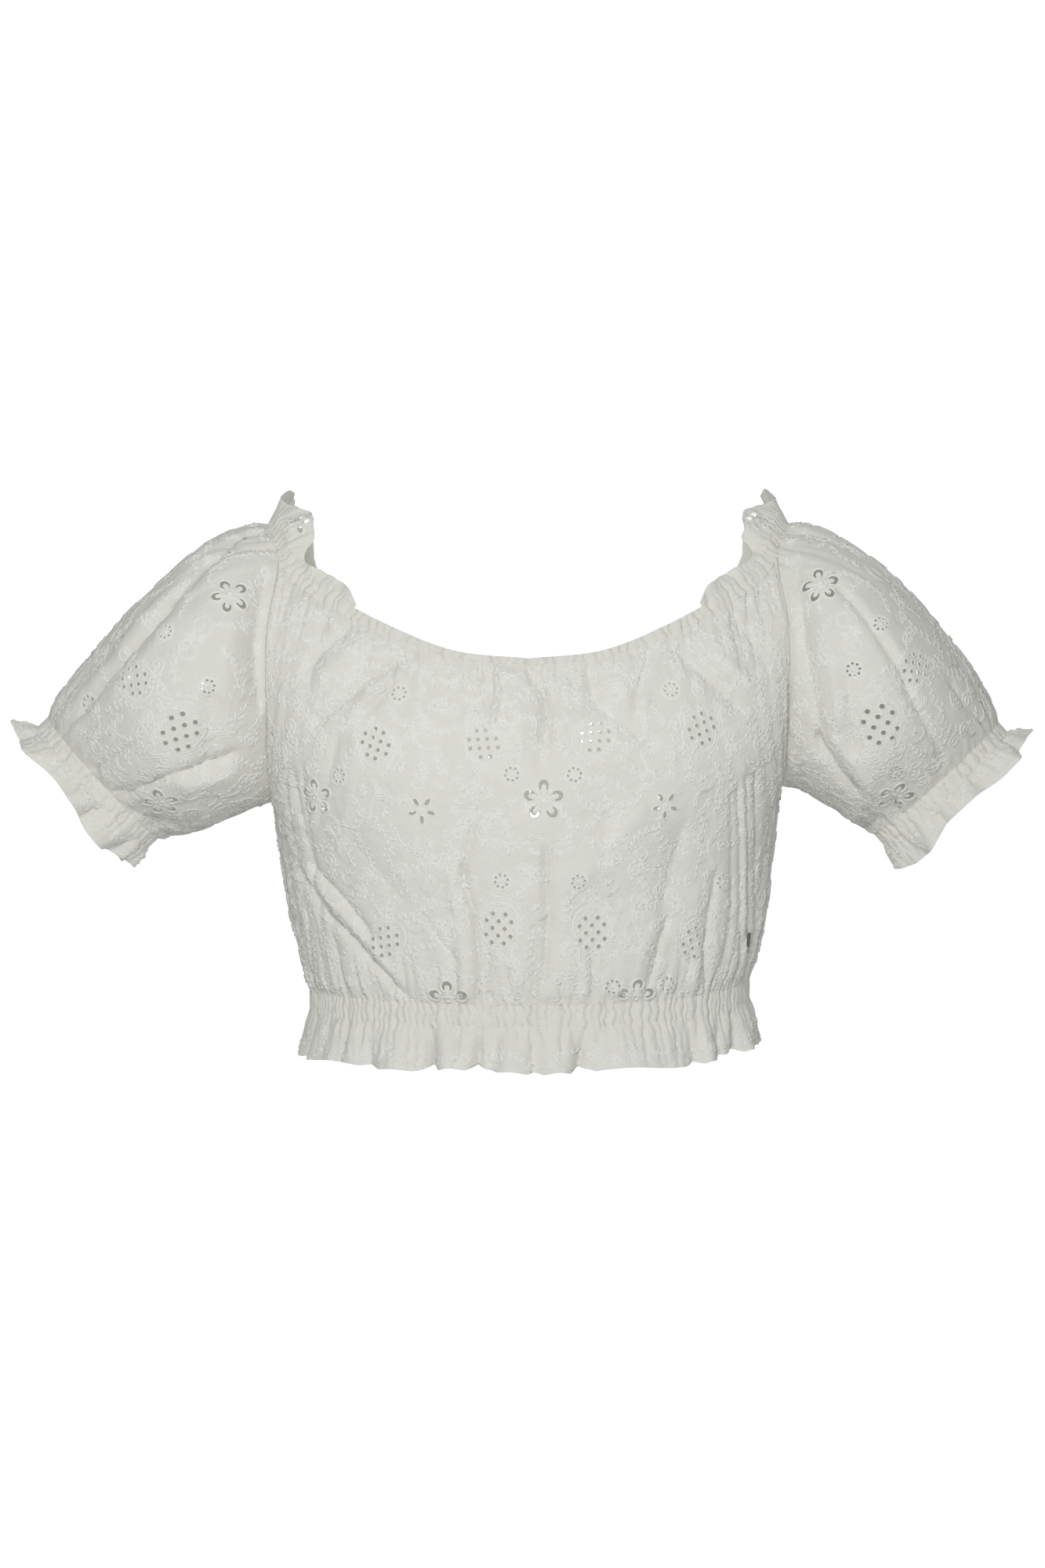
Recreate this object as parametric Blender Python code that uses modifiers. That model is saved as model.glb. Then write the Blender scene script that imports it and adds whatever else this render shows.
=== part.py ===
"""Cropped off-shoulder top in white cotton eyelet cloth, hollow as it is worn.

The frame has its origin at the middle of the neckline opening, level with the
lowest point of the front neckline. +X is to the right seen from the front, the
front faces -Y and +Z is up. Lengths in the tables are millimetres.

Each piece that is cut and sewn is its own object: a front and a back, two
raglan sleeves (each split along its top and its underarm), elastic casings at
neck, waist and cuffs, and the ruffles that they gather.
"""

import math
from collections import namedtuple

import bmesh
import bpy
from mathutils import Matrix, Vector

MM = 0.001
FRONT = 1
BACK = -1
LEFT = -1
RIGHT = 1

# Cloth walls and the space kept between sewn pieces
WALL = 1.2 * MM
CASING_WALL = 2.4 * MM
SEAM_GAP = 0.3 * MM
SLEEVE_SEAM_GAP = 0.8

# Heights of the body, at the middle and at the side seams
NECK_FRONT_Z = -7.0
NECK_BACK_Z = -10.0
WAIST_FRONT_Z = -228.0
WAIST_BACK_Z = -226.0
WAIST_SIDE_Z = {LEFT: -222.0, RIGHT: -214.0}

# The neck end of each armhole seam, as an angle down from the sleeve's top
NECK_CORNER = math.radians(45)
NECK_CORNER_TUCK = 9.0
NECK_CORNER_SPREAD = math.radians(25)

# How far round a panel's section turns at its side edges
SIDE_TURN = math.radians(88)
NECK_TURN = math.radians(60)

# Grids of the panels and the sleeve halves
FRONT_COLUMNS = 32
BACK_COLUMNS = 20
PANEL_ROWS = 18
UNDERARM_ROW = 8
UNDERARM_RISE = UNDERARM_ROW / PANEL_ROWS
SLEEVE_COLUMNS = 12
SLEEVE_ROWS = 12

# Neck casing, waist casing and cuffs
NECK_CORNER_TURN = 65.0
CASING_HEIGHT_FRONT = 6.0
CASING_HEIGHT_SHOULDER = 11.0
NECK_LEAN_FRONT = math.radians(1)
NECK_LEAN_SHOULDER = math.radians(28)
WAIST_CASING_HEIGHT = 14.0
CUFF_CASING_HEIGHT = 9.0
GATHER_DEPTH = 0.8
NECK_GATHERS = 44
WAIST_GATHERS = 36
CUFF_GATHERS = 16
POINTS_PER_GATHER = 4
CASING_STEP = 360 / (NECK_GATHERS * POINTS_PER_GATHER)

# Hem ruffle and cuff ruffles
HEM_RUFFLE_LENGTH = 30.0
HEM_RUFFLE_FLARE = 8.0
HEM_RUFFLE_WAVE = 4.2
HEM_RUFFLE_WAVES = 24
CUFF_RUFFLE_WAVE = 4.0
CUFF_RUFFLE_WAVES = 9
POINTS_PER_RUFFLE_WAVE = 5
HEADING_WAVES = 7
HEADING_COLUMNS = 48
HEADING_FIRST_COLUMN = 20
HEADING_WAVE = 2.6

# Cutwork flowers: five petal holes round a middle
PETALS = 5
PETAL_RING = 9.6
PETAL_LENGTH = 7.6
PETAL_WIDTH = 6.0
PETAL_SIDES = 8
SMALL_FLOWER = 0.62
CUTTER_DEPTH = 12.0

# Side tag
TAG_SIZE = (3.2, 0.8, 10.0)
TAG_ACROSS = 0.76
TAG_RISE = 0.12

SideRow = namedtuple("SideRow", "share left right")
SIDE_SEAM = (
    SideRow(0.00, -145, 151),
    SideRow(0.08, -148, 154),
    SideRow(0.20, -152, 159),
    SideRow(0.40, -158, 164),
    SideRow(0.65, -164, 168),
    SideRow(1.00, -171, 173),
)

DepthRow = namedtuple("DepthRow", "rise front back")
BODY_DEPTH = (
    DepthRow(0.00, 98, 90),
    DepthRow(0.06, 103, 95),
    DepthRow(0.25, 110, 98),
    DepthRow(0.50, 118, 102),
    DepthRow(0.70, 120, 104),
    DepthRow(0.85, 113, 102),
    DepthRow(1.00, 100, 95),
)

NeckRow = namedtuple("NeckRow", "across front back")
NECK_RISE = (
    NeckRow(0.00, 0.00, 0.00),
    NeckRow(0.25, 0.07, 0.05),
    NeckRow(0.50, 0.31, 0.18),
    NeckRow(0.75, 0.60, 0.44),
    NeckRow(0.90, 0.80, 0.74),
    NeckRow(1.00, 1.00, 1.00),
)

SleeveRow = namedtuple("SleeveRow", "along top_x top_z low_x low_z depth")
SLEEVE = {
    LEFT: (
        SleeveRow(0.00, -174, 92, -171, -95, 62),
        SleeveRow(0.15, -200, 88, -187, -100, 82),
        SleeveRow(0.35, -233, 66, -205, -107, 89),
        SleeveRow(0.55, -268, 33, -222, -113, 84),
        SleeveRow(0.75, -298, -1, -234, -116, 70),
        SleeveRow(0.90, -316, -26, -243, -117, 54),
        SleeveRow(1.00, -323, -39, -250, -119, 43),
    ),
    RIGHT: (
        SleeveRow(0.00, 178, 93, 173, -84, 62),
        SleeveRow(0.15, 205, 87, 188, -87, 82),
        SleeveRow(0.35, 241, 64, 205, -96, 89),
        SleeveRow(0.55, 273, 33, 219, -105, 84),
        SleeveRow(0.75, 300, -2, 226, -109, 70),
        SleeveRow(0.90, 315, -29, 232, -112, 54),
        SleeveRow(1.00, 320, -42, 238, -117, 43),
    ),
}

CuffRow = namedtuple("CuffRow", "axis_x axis_z top_length low_length top_flare low_flare")
CUFF = {
    LEFT: CuffRow(-0.88, -0.47, 14, 23, 8, 3),
    RIGHT: CuffRow(0.74, -0.67, 15, 23, 8, 3),
}

HeadingRow = namedtuple("HeadingRow", "turn height lean")
HEADING = (
    HeadingRow(41, 3, 2),
    HeadingRow(45, 10, 8),
    HeadingRow(54, 10, 10),
    HeadingRow(62, 6, 14),
    HeadingRow(67, 16, 22),
    HeadingRow(74, 22, 28),
    HeadingRow(80, 14, 22),
    HeadingRow(85, 9, 10),
    HeadingRow(90, 17, 3),
    HeadingRow(95, 17, 3),
    HeadingRow(101, 12, 8),
    HeadingRow(110, 14, 14),
    HeadingRow(120, 9, 12),
    HeadingRow(130, 9, 8),
    HeadingRow(139, 3, 4),
)

# Soft folds of the panels: a line from one point to another, seen from the front
Fold = namedtuple("Fold", "x0 z0 x1 z1 width depth")
FRONT_FOLDS = (
    Fold(12, -8, 14, -78, 7, -5.0),
    Fold(-8, -4, -24, -62, 9, 3.0),
    Fold(32, -4, 42, -66, 10, 3.0),
    Fold(-76, 0, -120, -58, 8, -3.5),
    Fold(-118, 20, -146, -16, 9, -3.0),
    Fold(98, 4, 142, -44, 9, -3.5),
    Fold(72, -8, 66, -52, 9, -2.5),
    Fold(-30, -98, -34, -216, 8, -4.0),
    Fold(12, -125, 12, -214, 10, 2.5),
    Fold(92, -170, 80, -216, 7, -2.5),
    Fold(122, -146, 118, -216, 8, -3.0),
    Fold(-148, -150, -76, -224, 8, -3.5),
)
BACK_FOLDS = (
    Fold(4, -10, -2, -80, 9, -3.5),
    Fold(-84, 4, -118, -60, 10, -3.0),
    Fold(88, 4, 124, -58, 10, -3.0),
    Fold(-46, -120, -50, -216, 9, -3.0),
    Fold(44, -130, 52, -216, 9, -3.0),
    Fold(110, -140, 84, -218, 9, -2.5),
)

# Folds along a sleeve: from one point to another, in share of its length and
# in degrees round from its top to the front
SleeveFold = namedtuple("SleeveFold", "along0 round0 along1 round1 width depth")
SLEEVE_FOLDS = (
    SleeveFold(0.06, 28, 0.88, 62, 9, -4.5),
    SleeveFold(0.45, 22, 0.95, 34, 8, -3.0),
    SleeveFold(0.10, 150, 0.50, 128, 8, -3.0),
    SleeveFold(0.08, 88, 0.60, 100, 10, -2.5),
)

Flower = namedtuple("Flower", "across rise turn petals scale")
FRONT_FLOWERS = (
    Flower(0.045, 0.60, 90, (0, 1, 2, 3, 4), 1.0),
    Flower(-0.655, 0.53, 80, (0, 1, 2, 3, 4), 0.9),
    Flower(-0.24, 0.012, 90, (0, 1, 4), 1.0),
    Flower(0.32, 0.012, 90, (0, 1, 4), 1.0),
)
BACK_FLOWERS = (
    Flower(0.00, 0.60, 90, (0, 1, 2, 3, 4), 1.0),
    Flower(-0.52, 0.34, 90, (0, 1, 2, 3, 4), 1.0),
    Flower(0.52, 0.34, 90, (0, 1, 2, 3, 4), 1.0),
)
SleeveFlower = namedtuple("SleeveFlower", "along round turn")
SLEEVE_FLOWERS = {
    (LEFT, FRONT): (SleeveFlower(0.17, 54, 90), SleeveFlower(0.73, 131, 60)),
    (LEFT, BACK): (SleeveFlower(0.45, 80, 90),),
    (RIGHT, FRONT): (SleeveFlower(0.14, 54, 90), SleeveFlower(0.80, 131, 60)),
    (RIGHT, BACK): (SleeveFlower(0.45, 80, 90),),
}
HEADING_FLOWER_TURN = 73.5
HEADING_FLOWER_SHARE = 0.5


def lerp(start, end, share):
    """Return the value a share of the way from start to end."""
    return start + (end - start) * share


def smooth(share):
    """Ease a share from 0 to 1 with level ends."""
    share = min(max(share, 0.0), 1.0)
    return share * share * (3.0 - 2.0 * share)


def read_rows(rows, at):
    """Return a row between the given rows, on a smooth curve through them."""
    first = rows[0]
    at = min(max(at, rows[0][0]), rows[-1][0])
    index = max(i for i in range(len(rows) - 1) if rows[i][0] <= at)
    low = rows[index]
    high = rows[index + 1]
    before = rows[max(index - 1, 0)]
    after = rows[min(index + 2, len(rows) - 1)]
    span = high[0] - low[0]
    share = (at - low[0]) / span
    values = [at]
    for column in range(1, len(first)):
        slope_low = (high[column] - before[column]) / (high[0] - before[0])
        slope_high = (after[column] - low[column]) / (after[0] - low[0])
        cube = share ** 3
        square = share ** 2
        values.append(
            (2 * cube - 3 * square + 1) * low[column]
            + (cube - 2 * square + share) * span * slope_low
            + (3 * square - 2 * cube) * high[column]
            + (cube - square) * span * slope_high
        )
    return type(first)(*values)


def fold_offset(folds, x, z, ends=0.18):
    """Sum the soft troughs and ridges of straight folds at one point."""
    total = 0.0
    for fold in folds:
        along_x = fold[2] - fold[0]
        along_z = fold[3] - fold[1]
        length = math.hypot(along_x, along_z)
        share = ((x - fold[0]) * along_x + (z - fold[1]) * along_z) / length ** 2
        aside = ((x - fold[0]) * along_z - (z - fold[1]) * along_x) / length
        fade = smooth((share + ends) / (2 * ends)) * smooth((1 + ends - share) / (2 * ends))
        total += fold[5] * fade * math.exp(-((aside / fold[4]) ** 2))
    return total


def sleeve_point(side, along, angle):
    """Return a point of a sleeve; angle runs from its top round the front."""
    row = read_rows(SLEEVE[side], along)
    reach = math.cos(angle)
    round_share = abs(math.sin(angle))
    x = lerp(row.low_x, row.top_x, 0.5 + 0.5 * reach)
    z = lerp(row.low_z, row.top_z, 0.5 + 0.5 * reach)
    y = -math.copysign(row.depth * round_share, math.sin(angle))
    turn = abs(math.remainder(angle, 2 * math.pi))
    tuck = NECK_CORNER_TUCK * math.exp(-(((turn - NECK_CORNER) / NECK_CORNER_SPREAD) ** 2))
    x -= side * tuck * (1 - smooth(along / 0.3))
    return Vector((x, y, z))


def sleeve_surface(side, along, angle):
    """Return a sleeve point with the sleeve's folds pressed in."""
    point = sleeve_point(side, along, angle)
    row = read_rows(SLEEVE[side], along)
    centre = Vector(((row.top_x + row.low_x) / 2, 0, (row.top_z + row.low_z) / 2))
    turn = math.degrees(abs(math.remainder(angle, 2 * math.pi)))
    length = 150.0
    folds = [
        (f.along0 * length, f.round0, f.along1 * length, f.round1, f.width, f.depth)
        for f in SLEEVE_FOLDS
    ]
    window = smooth(along / 0.1) * smooth((1 - along) / 0.1)
    offset = fold_offset(folds, along * length, turn) * window
    return point + (point - centre).normalized() * offset


def edge_point(side, face, rise):
    """Return a front or back panel's side edge: side seam, then armhole."""
    mid_z = (SLEEVE[side][0].top_z + SLEEVE[side][0].low_z) / 2
    half = (SLEEVE[side][0].top_z - SLEEVE[side][0].low_z) / 2
    underarm_z = mid_z - half
    if rise < UNDERARM_RISE:
        share = rise / UNDERARM_RISE
        row = read_rows(SIDE_SEAM, share)
        x = row.left if side == LEFT else row.right
        return Vector((x, 0.0, lerp(WAIST_SIDE_Z[side], underarm_z, share)))
    corner_z = mid_z + half * math.cos(NECK_CORNER)
    z = lerp(underarm_z, corner_z, (rise - UNDERARM_RISE) / (1 - UNDERARM_RISE))
    angle = math.acos(max(-1.0, (z - mid_z) / half))
    return sleeve_point(side, 0.0, angle * face)


def panel_point(face, across, rise):
    """Return a point of the front or back, before its folds.

    across runs from -1 at the left edge to 1 at the right edge, and rise from
    0 at the waist to 1 at the neck.
    """
    left = edge_point(LEFT, face, rise)
    right = edge_point(RIGHT, face, rise)
    side_share = (across + 1) / 2
    turn = lerp(SIDE_TURN, NECK_TURN, smooth((rise - UNDERARM_RISE) / (1 - UNDERARM_RISE)))
    depth_row = read_rows(BODY_DEPTH, rise)
    depth = depth_row.front if face == FRONT else -depth_row.back
    x = (left.x + right.x) / 2 + (right.x - left.x) / 2 * math.sin(turn * across) / math.sin(turn)
    edge_y = lerp(left.y, right.y, side_share)
    crown = (math.cos(turn * across) - math.cos(turn)) / (1 - math.cos(turn))
    y = edge_y + (-depth - edge_y) * crown
    neck_row = read_rows(NECK_RISE, abs(across))
    neck_rise = neck_row.front if face == FRONT else neck_row.back
    waist_rise = 1 - math.cos(math.radians(90) * across)
    middle_low = WAIST_FRONT_Z if face == FRONT else WAIST_BACK_Z
    middle_high = NECK_FRONT_Z if face == FRONT else NECK_BACK_Z
    middle_z = lerp(middle_low, middle_high, rise)
    edge_z = lerp(left.z, right.z, smooth(side_share))
    z = lerp(middle_z, edge_z, lerp(waist_rise, neck_rise, rise))
    return Vector((x, y, z))


def panel_surface(face, across, rise):
    """Return a front or back point with the panel's folds pressed in."""
    point = panel_point(face, across, rise)
    folds = FRONT_FOLDS if face == FRONT else BACK_FOLDS
    window = smooth((1 - abs(across)) / 0.12) * smooth(rise / 0.06) * smooth((1 - rise) / 0.06)
    offset = fold_offset(folds, point.x, point.z) * window
    outward = Vector((point.x * 0.3, point.y, 0)).normalized()
    return point + outward * offset


def neck_base(turn):
    """Return the neckline's lower edge at a turn in degrees from the front.

    It follows the straight edges of the panels' and sleeves' grids, so that the
    casing stays clear of them all the way round.
    """
    side = RIGHT if turn > 0 else LEFT
    size = abs(turn)
    if size <= NECK_CORNER_TURN:
        place = size / NECK_CORNER_TURN * FRONT_COLUMNS / 2
        step = min(math.floor(place), FRONT_COLUMNS // 2 - 1)
        near = panel_point(FRONT, side * step * 2 / FRONT_COLUMNS, 1.0)
        far = panel_point(FRONT, side * (step + 1) * 2 / FRONT_COLUMNS, 1.0)
        return near.lerp(far, place - step)
    if size >= 180 - NECK_CORNER_TURN:
        place = (180 - size) / NECK_CORNER_TURN * BACK_COLUMNS / 2
        step = min(math.floor(place), BACK_COLUMNS // 2 - 1)
        near = panel_point(BACK, side * step * 2 / BACK_COLUMNS, 1.0)
        far = panel_point(BACK, side * (step + 1) * 2 / BACK_COLUMNS, 1.0)
        return near.lerp(far, place - step)
    row_angle = math.pi / SLEEVE_ROWS
    place = (90 - size) / (90 - NECK_CORNER_TURN) * NECK_CORNER / row_angle
    step = math.floor(place)
    near = sleeve_point(side, 0.0, step * row_angle)
    far = sleeve_point(side, 0.0, (step + 1) * row_angle)
    return near.lerp(far, place - step)


def neck_frame(turn, extra_lean=0.0):
    """Return the neckline's base, its upward and its outward direction."""
    base = neck_base(turn)
    step = 4.0
    ahead = neck_base(math.remainder(turn + step, 360))
    behind = neck_base(math.remainder(turn - step, 360))
    along = (ahead - behind).normalized()
    out = along.cross(Vector((0, 0, 1))).normalized()
    shoulder = math.sin(math.radians(turn)) ** 2
    lean = lerp(NECK_LEAN_FRONT, NECK_LEAN_SHOULDER, shoulder) + math.radians(extra_lean)
    up = Vector((0, 0, math.cos(lean))) - out * math.sin(lean)
    up = (up - along * up.dot(along)).normalized()
    return base, up, along.cross(up)


def casing_height(turn):
    """Return how tall the neck casing is at a turn from the front."""
    shoulder = math.sin(math.radians(turn)) ** 2
    return lerp(CASING_HEIGHT_FRONT, CASING_HEIGHT_SHOULDER, shoulder)


def neck_casing_point(round_share, up_share):
    """Return a point of the gathered band round the neck."""
    turn = lerp(-180, 180, round_share)
    base, up, normal = neck_frame(turn)
    reach = SEAM_GAP / MM + casing_height(turn) * up_share
    gather = GATHER_DEPTH * math.sin(2 * math.pi * NECK_GATHERS * round_share)
    return base + up * reach + normal * gather


def heading_point(side, round_share, up_share):
    """Return a point of the ruffle that stands above the neck casing."""
    size = (HEADING_FIRST_COLUMN + HEADING_COLUMNS * round_share) * CASING_STEP
    row = read_rows(HEADING, size)
    turn = side * size
    base, up, normal = neck_frame(turn)
    foot = base + up * (2 * SEAM_GAP / MM + casing_height(turn)) - normal * (WALL / MM)
    lean_up = neck_frame(turn, row.lean)[1]
    wave = HEADING_WAVE * math.sin(2 * math.pi * HEADING_WAVES * round_share)
    return foot + lean_up * (row.height * up_share) + normal * (wave * up_share)


def waist_base(turn):
    """Return the waist's edge at a turn in degrees from the front."""
    if abs(turn) <= 90:
        return panel_point(FRONT, turn / 90, 0.0)
    side = RIGHT if turn > 0 else LEFT
    return panel_point(BACK, side * (180 - abs(turn)) / 90, 0.0)


def waist_out(turn):
    """Return the level direction that points out from the waist."""
    step = 3.0
    ahead = waist_base(math.remainder(turn + step, 360))
    behind = waist_base(math.remainder(turn - step, 360))
    level = Vector((ahead.x - behind.x, ahead.y - behind.y, 0))
    return level.cross(Vector((0, 0, 1))).normalized()


def waist_casing_point(round_share, up_share):
    """Return a point of the gathered band round the waist."""
    turn = lerp(-180, 180, round_share)
    reach = SEAM_GAP / MM + WAIST_CASING_HEIGHT * (1 - up_share)
    gather = GATHER_DEPTH * math.sin(2 * math.pi * WAIST_GATHERS * round_share)
    return waist_base(turn) - Vector((0, 0, reach)) + waist_out(turn) * gather


def uneven_wave(count, round_share):
    """Return a wave round a ring whose folds are not evenly spaced."""
    turn = 2 * math.pi * round_share
    drift = 0.55 * math.sin(3 * turn + 0.7) + 0.35 * math.sin(5 * turn + 2.1)
    return math.sin(count * turn + drift)


def hem_ruffle_point(round_share, up_share):
    """Return a point of the ruffle below the waist casing."""
    turn = lerp(-180, 180, round_share)
    down = 1 - up_share
    reach = 2 * SEAM_GAP / MM + WAIST_CASING_HEIGHT + HEM_RUFFLE_LENGTH * down
    wave = HEM_RUFFLE_WAVE * down ** 0.7 * uneven_wave(HEM_RUFFLE_WAVES, round_share)
    flare = HEM_RUFFLE_FLARE * down
    return waist_base(turn) - Vector((0, 0, reach)) + waist_out(turn) * (flare + wave)


def cuff_frame(side, angle):
    """Return the sleeve's end point, the casing's axis and its radial direction."""
    row = SLEEVE[side][-1]
    across = Vector((row.top_x - row.low_x, 0, row.top_z - row.low_z)).normalized()
    axis = across.cross(Vector((0, -side, 0)))
    base = sleeve_point(side, 1.0, angle)
    level = sleeve_point(side, 1.0, angle + 0.05) - sleeve_point(side, 1.0, angle - 0.05)
    out = level.cross(axis).normalized() * side
    return base, axis, out


def cuff_casing_point(side, round_share, out_share):
    """Return a point of the gathered band round a cuff."""
    base, axis, out = cuff_frame(side, 2 * math.pi * round_share)
    reach = SEAM_GAP / MM + CUFF_CASING_HEIGHT * out_share
    gather = GATHER_DEPTH * math.sin(2 * math.pi * CUFF_GATHERS * round_share)
    return base + axis * reach + out * gather


def cuff_ruffle_point(side, round_share, out_share):
    """Return a point of the flounce beyond a cuff's casing."""
    angle = 2 * math.pi * round_share
    base, axis, out = cuff_frame(side, angle)
    row = CUFF[side]
    hang = Vector((row.axis_x, 0, row.axis_z)).normalized()
    top_share = 0.5 + 0.5 * math.cos(angle)
    length = lerp(row.low_length, row.top_length, top_share)
    flare = lerp(row.low_flare, row.top_flare, top_share)
    foot = base + axis * (2 * SEAM_GAP / MM + CUFF_CASING_HEIGHT)
    wave = CUFF_RUFFLE_WAVE * out_share ** 0.7 * uneven_wave(CUFF_RUFFLE_WAVES, round_share)
    return foot + hang * (length * out_share) + out * (flare * out_share + wave)


def clear_scene():
    """Remove the objects that a new file starts with."""
    for item in list(bpy.data.objects):
        bpy.data.objects.remove(item, do_unlink=True)


def new_collection(name):
    """Make a collection in the scene."""
    collection = bpy.data.collections.new(name)
    bpy.context.scene.collection.children.link(collection)
    return collection


def new_material(name, colour, roughness):
    """Make a plain surface with a colour and a roughness."""
    material = bpy.data.materials.new(name)
    material.use_nodes = True
    shader = material.node_tree.nodes["Principled BSDF"]
    shader.inputs["Base Color"].default_value = (*colour, 1.0)
    shader.inputs["Roughness"].default_value = roughness
    shader.inputs["Metallic"].default_value = 0.0
    return material


def add_object(name, bm, collection, material=None):
    """Turn a bmesh into an object of a collection."""
    mesh = bpy.data.meshes.new(name)
    bm.to_mesh(mesh)
    bm.free()
    if material:
        mesh.materials.append(material)
    item = bpy.data.objects.new(name, mesh)
    collection.objects.link(item)
    return item


def cloth_sheet(name, shape, columns, rows, wall, collection, material, flip=False, side=-1.0):
    """Bend a flat grid to a cloth shape and give it a wall on one side of it.

    shape takes two shares, along and up the grid, and returns millimetres.
    """
    bm = bmesh.new()
    bmesh.ops.create_grid(bm, x_segments=columns, y_segments=rows, size=0.5)
    for vert in bm.verts:
        vert.co = shape(vert.co.x + 0.5, vert.co.y + 0.5) * MM
    bmesh.ops.remove_doubles(bm, verts=bm.verts, dist=0.00001)
    if flip:
        bmesh.ops.reverse_faces(bm, faces=bm.faces)
    item = add_object(name, bm, collection, material)
    item.data.shade_smooth()
    solidify = item.modifiers.new("wall", "SOLIDIFY")
    solidify.thickness = wall
    solidify.offset = side
    solidify.use_even_offset = True
    return item


def surface_frame(shape, u, v, turn):
    """Return a matrix on a cloth shape: X along it at a turn, Z out of it."""
    step = 0.004
    along = (shape(u + step, v) - shape(u - step, v)).normalized()
    up = (shape(u, v + step) - shape(u, v - step)).normalized()
    out = along.cross(up).normalized()
    up = out.cross(along)
    place = Matrix.Translation(shape(u, v) * MM)
    return place @ Matrix((along, up, out)).transposed().to_4x4() @ Matrix.Rotation(turn, 4, "Z")


def add_petals(bm, shape, u, v, turn, petals=tuple(range(PETALS)), scale=1.0):
    """Add the cutters of a flower's petal holes to a bmesh."""
    for petal in petals:
        angle = math.radians(turn) + petal * 2 * math.pi / PETALS
        frame = surface_frame(shape, u, v, angle)
        aside = Matrix.Translation((PETAL_RING * scale * MM, 0, 0))
        size = Matrix.Diagonal((PETAL_LENGTH * scale / 2, PETAL_WIDTH * scale / 2, 1, 1))
        bmesh.ops.create_cone(
            bm,
            cap_ends=True,
            segments=PETAL_SIDES,
            radius1=MM,
            radius2=MM,
            depth=CUTTER_DEPTH * MM,
            matrix=frame @ aside @ size,
        )


def cut_holes(item, bm, cutters):
    """Cut a cloth object with the closed shapes of a bmesh."""
    bmesh.ops.recalc_face_normals(bm, faces=bm.faces)
    cutter = add_object(item.name + "_holes", bm, cutters)
    cutter.hide_render = True
    cutter.display_type = "WIRE"
    triangulate = item.modifiers.new("flat faces", "TRIANGULATE")
    triangulate.keep_custom_normals = True
    boolean = item.modifiers.new("holes", "BOOLEAN")
    boolean.operation = "DIFFERENCE"
    boolean.solver = "EXACT"
    boolean.object = cutter


def make_panels(collection, cutters, cloth):
    """Make the front and the back."""
    margin = SEAM_GAP / MM / 2

    def front_shape(u, v):
        point = panel_surface(FRONT, 2 * u - 1, v)
        return point + Vector((0, -margin, 0))

    def back_shape(u, v):
        point = panel_surface(BACK, 1 - 2 * u, v)
        return point + Vector((0, margin, 0))

    front = cloth_sheet("front", front_shape, FRONT_COLUMNS, PANEL_ROWS, WALL, collection, cloth)
    holes = bmesh.new()
    for flower in FRONT_FLOWERS:
        u = (flower.across + 1) / 2
        add_petals(holes, front_shape, u, flower.rise, flower.turn, flower.petals, flower.scale)
    cut_holes(front, holes, cutters)

    back = cloth_sheet("back", back_shape, BACK_COLUMNS, PANEL_ROWS, WALL, collection, cloth)
    holes = bmesh.new()
    for flower in BACK_FLOWERS:
        u = (1 - flower.across) / 2
        add_petals(holes, back_shape, u, flower.rise, flower.turn, flower.petals, flower.scale)
    cut_holes(back, holes, cutters)
    return front_shape


def make_sleeve(side, face, collection, cutters, cloth):
    """Make the front or the back half of one sleeve."""
    start = 0.003
    margin = Vector((0, -face * SLEEVE_SEAM_GAP / 2, 0))

    def shape(u, v):
        along = lerp(start, 1.0, u)
        angle = face * math.pi * (1 - v)
        return sleeve_surface(side, along, angle) + margin

    name = "sleeve_{}_{}".format("left" if side == LEFT else "right", "front" if face == FRONT else "back")
    flip = side * face == -1
    item = cloth_sheet(name, shape, SLEEVE_COLUMNS, SLEEVE_ROWS, WALL, collection, cloth, flip)
    holes = bmesh.new()
    for flower in SLEEVE_FLOWERS[side, face]:
        add_petals(holes, shape, flower.along, 1 - flower.round / 180, flower.turn)
    cut_holes(item, holes, cutters)


def make_heading(side, collection, cutters, cloth):
    """Make the standing ruffle over one shoulder."""

    def shape(u, v):
        return heading_point(side, u, v)

    name = "neck_ruffle_left" if side == LEFT else "neck_ruffle_right"
    flip = side == LEFT
    item = cloth_sheet(name, shape, HEADING_COLUMNS, 3, WALL, collection, cloth, flip, 1.0)
    holes = bmesh.new()
    share = (HEADING_FLOWER_TURN / CASING_STEP - HEADING_FIRST_COLUMN) / HEADING_COLUMNS
    add_petals(holes, shape, share, HEADING_FLOWER_SHARE, 90, scale=SMALL_FLOWER)
    cut_holes(item, holes, cutters)


def make_tag(front_shape, collection, material):
    """Make the small blank tag that is caught in the right side seam."""
    bpy.ops.mesh.primitive_cube_add(size=1)
    tag = bpy.context.object
    tag.name = "side_tag"
    tag.data.materials.append(material)
    tag.scale = Vector(TAG_SIZE) * MM
    frame = surface_frame(front_shape, (TAG_ACROSS + 1) / 2, TAG_RISE, 0.0)
    lift = (TAG_SIZE[1] / 2 * MM) + 2 * SEAM_GAP
    upright = Matrix.Rotation(math.radians(-90), 4, "X")
    place = frame @ Matrix.Translation((0, 0, lift)) @ upright
    tag.location = place.to_translation()
    tag.rotation_euler = place.to_euler()
    for holder in list(tag.users_collection):
        holder.objects.unlink(tag)
    collection.objects.link(tag)


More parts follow.
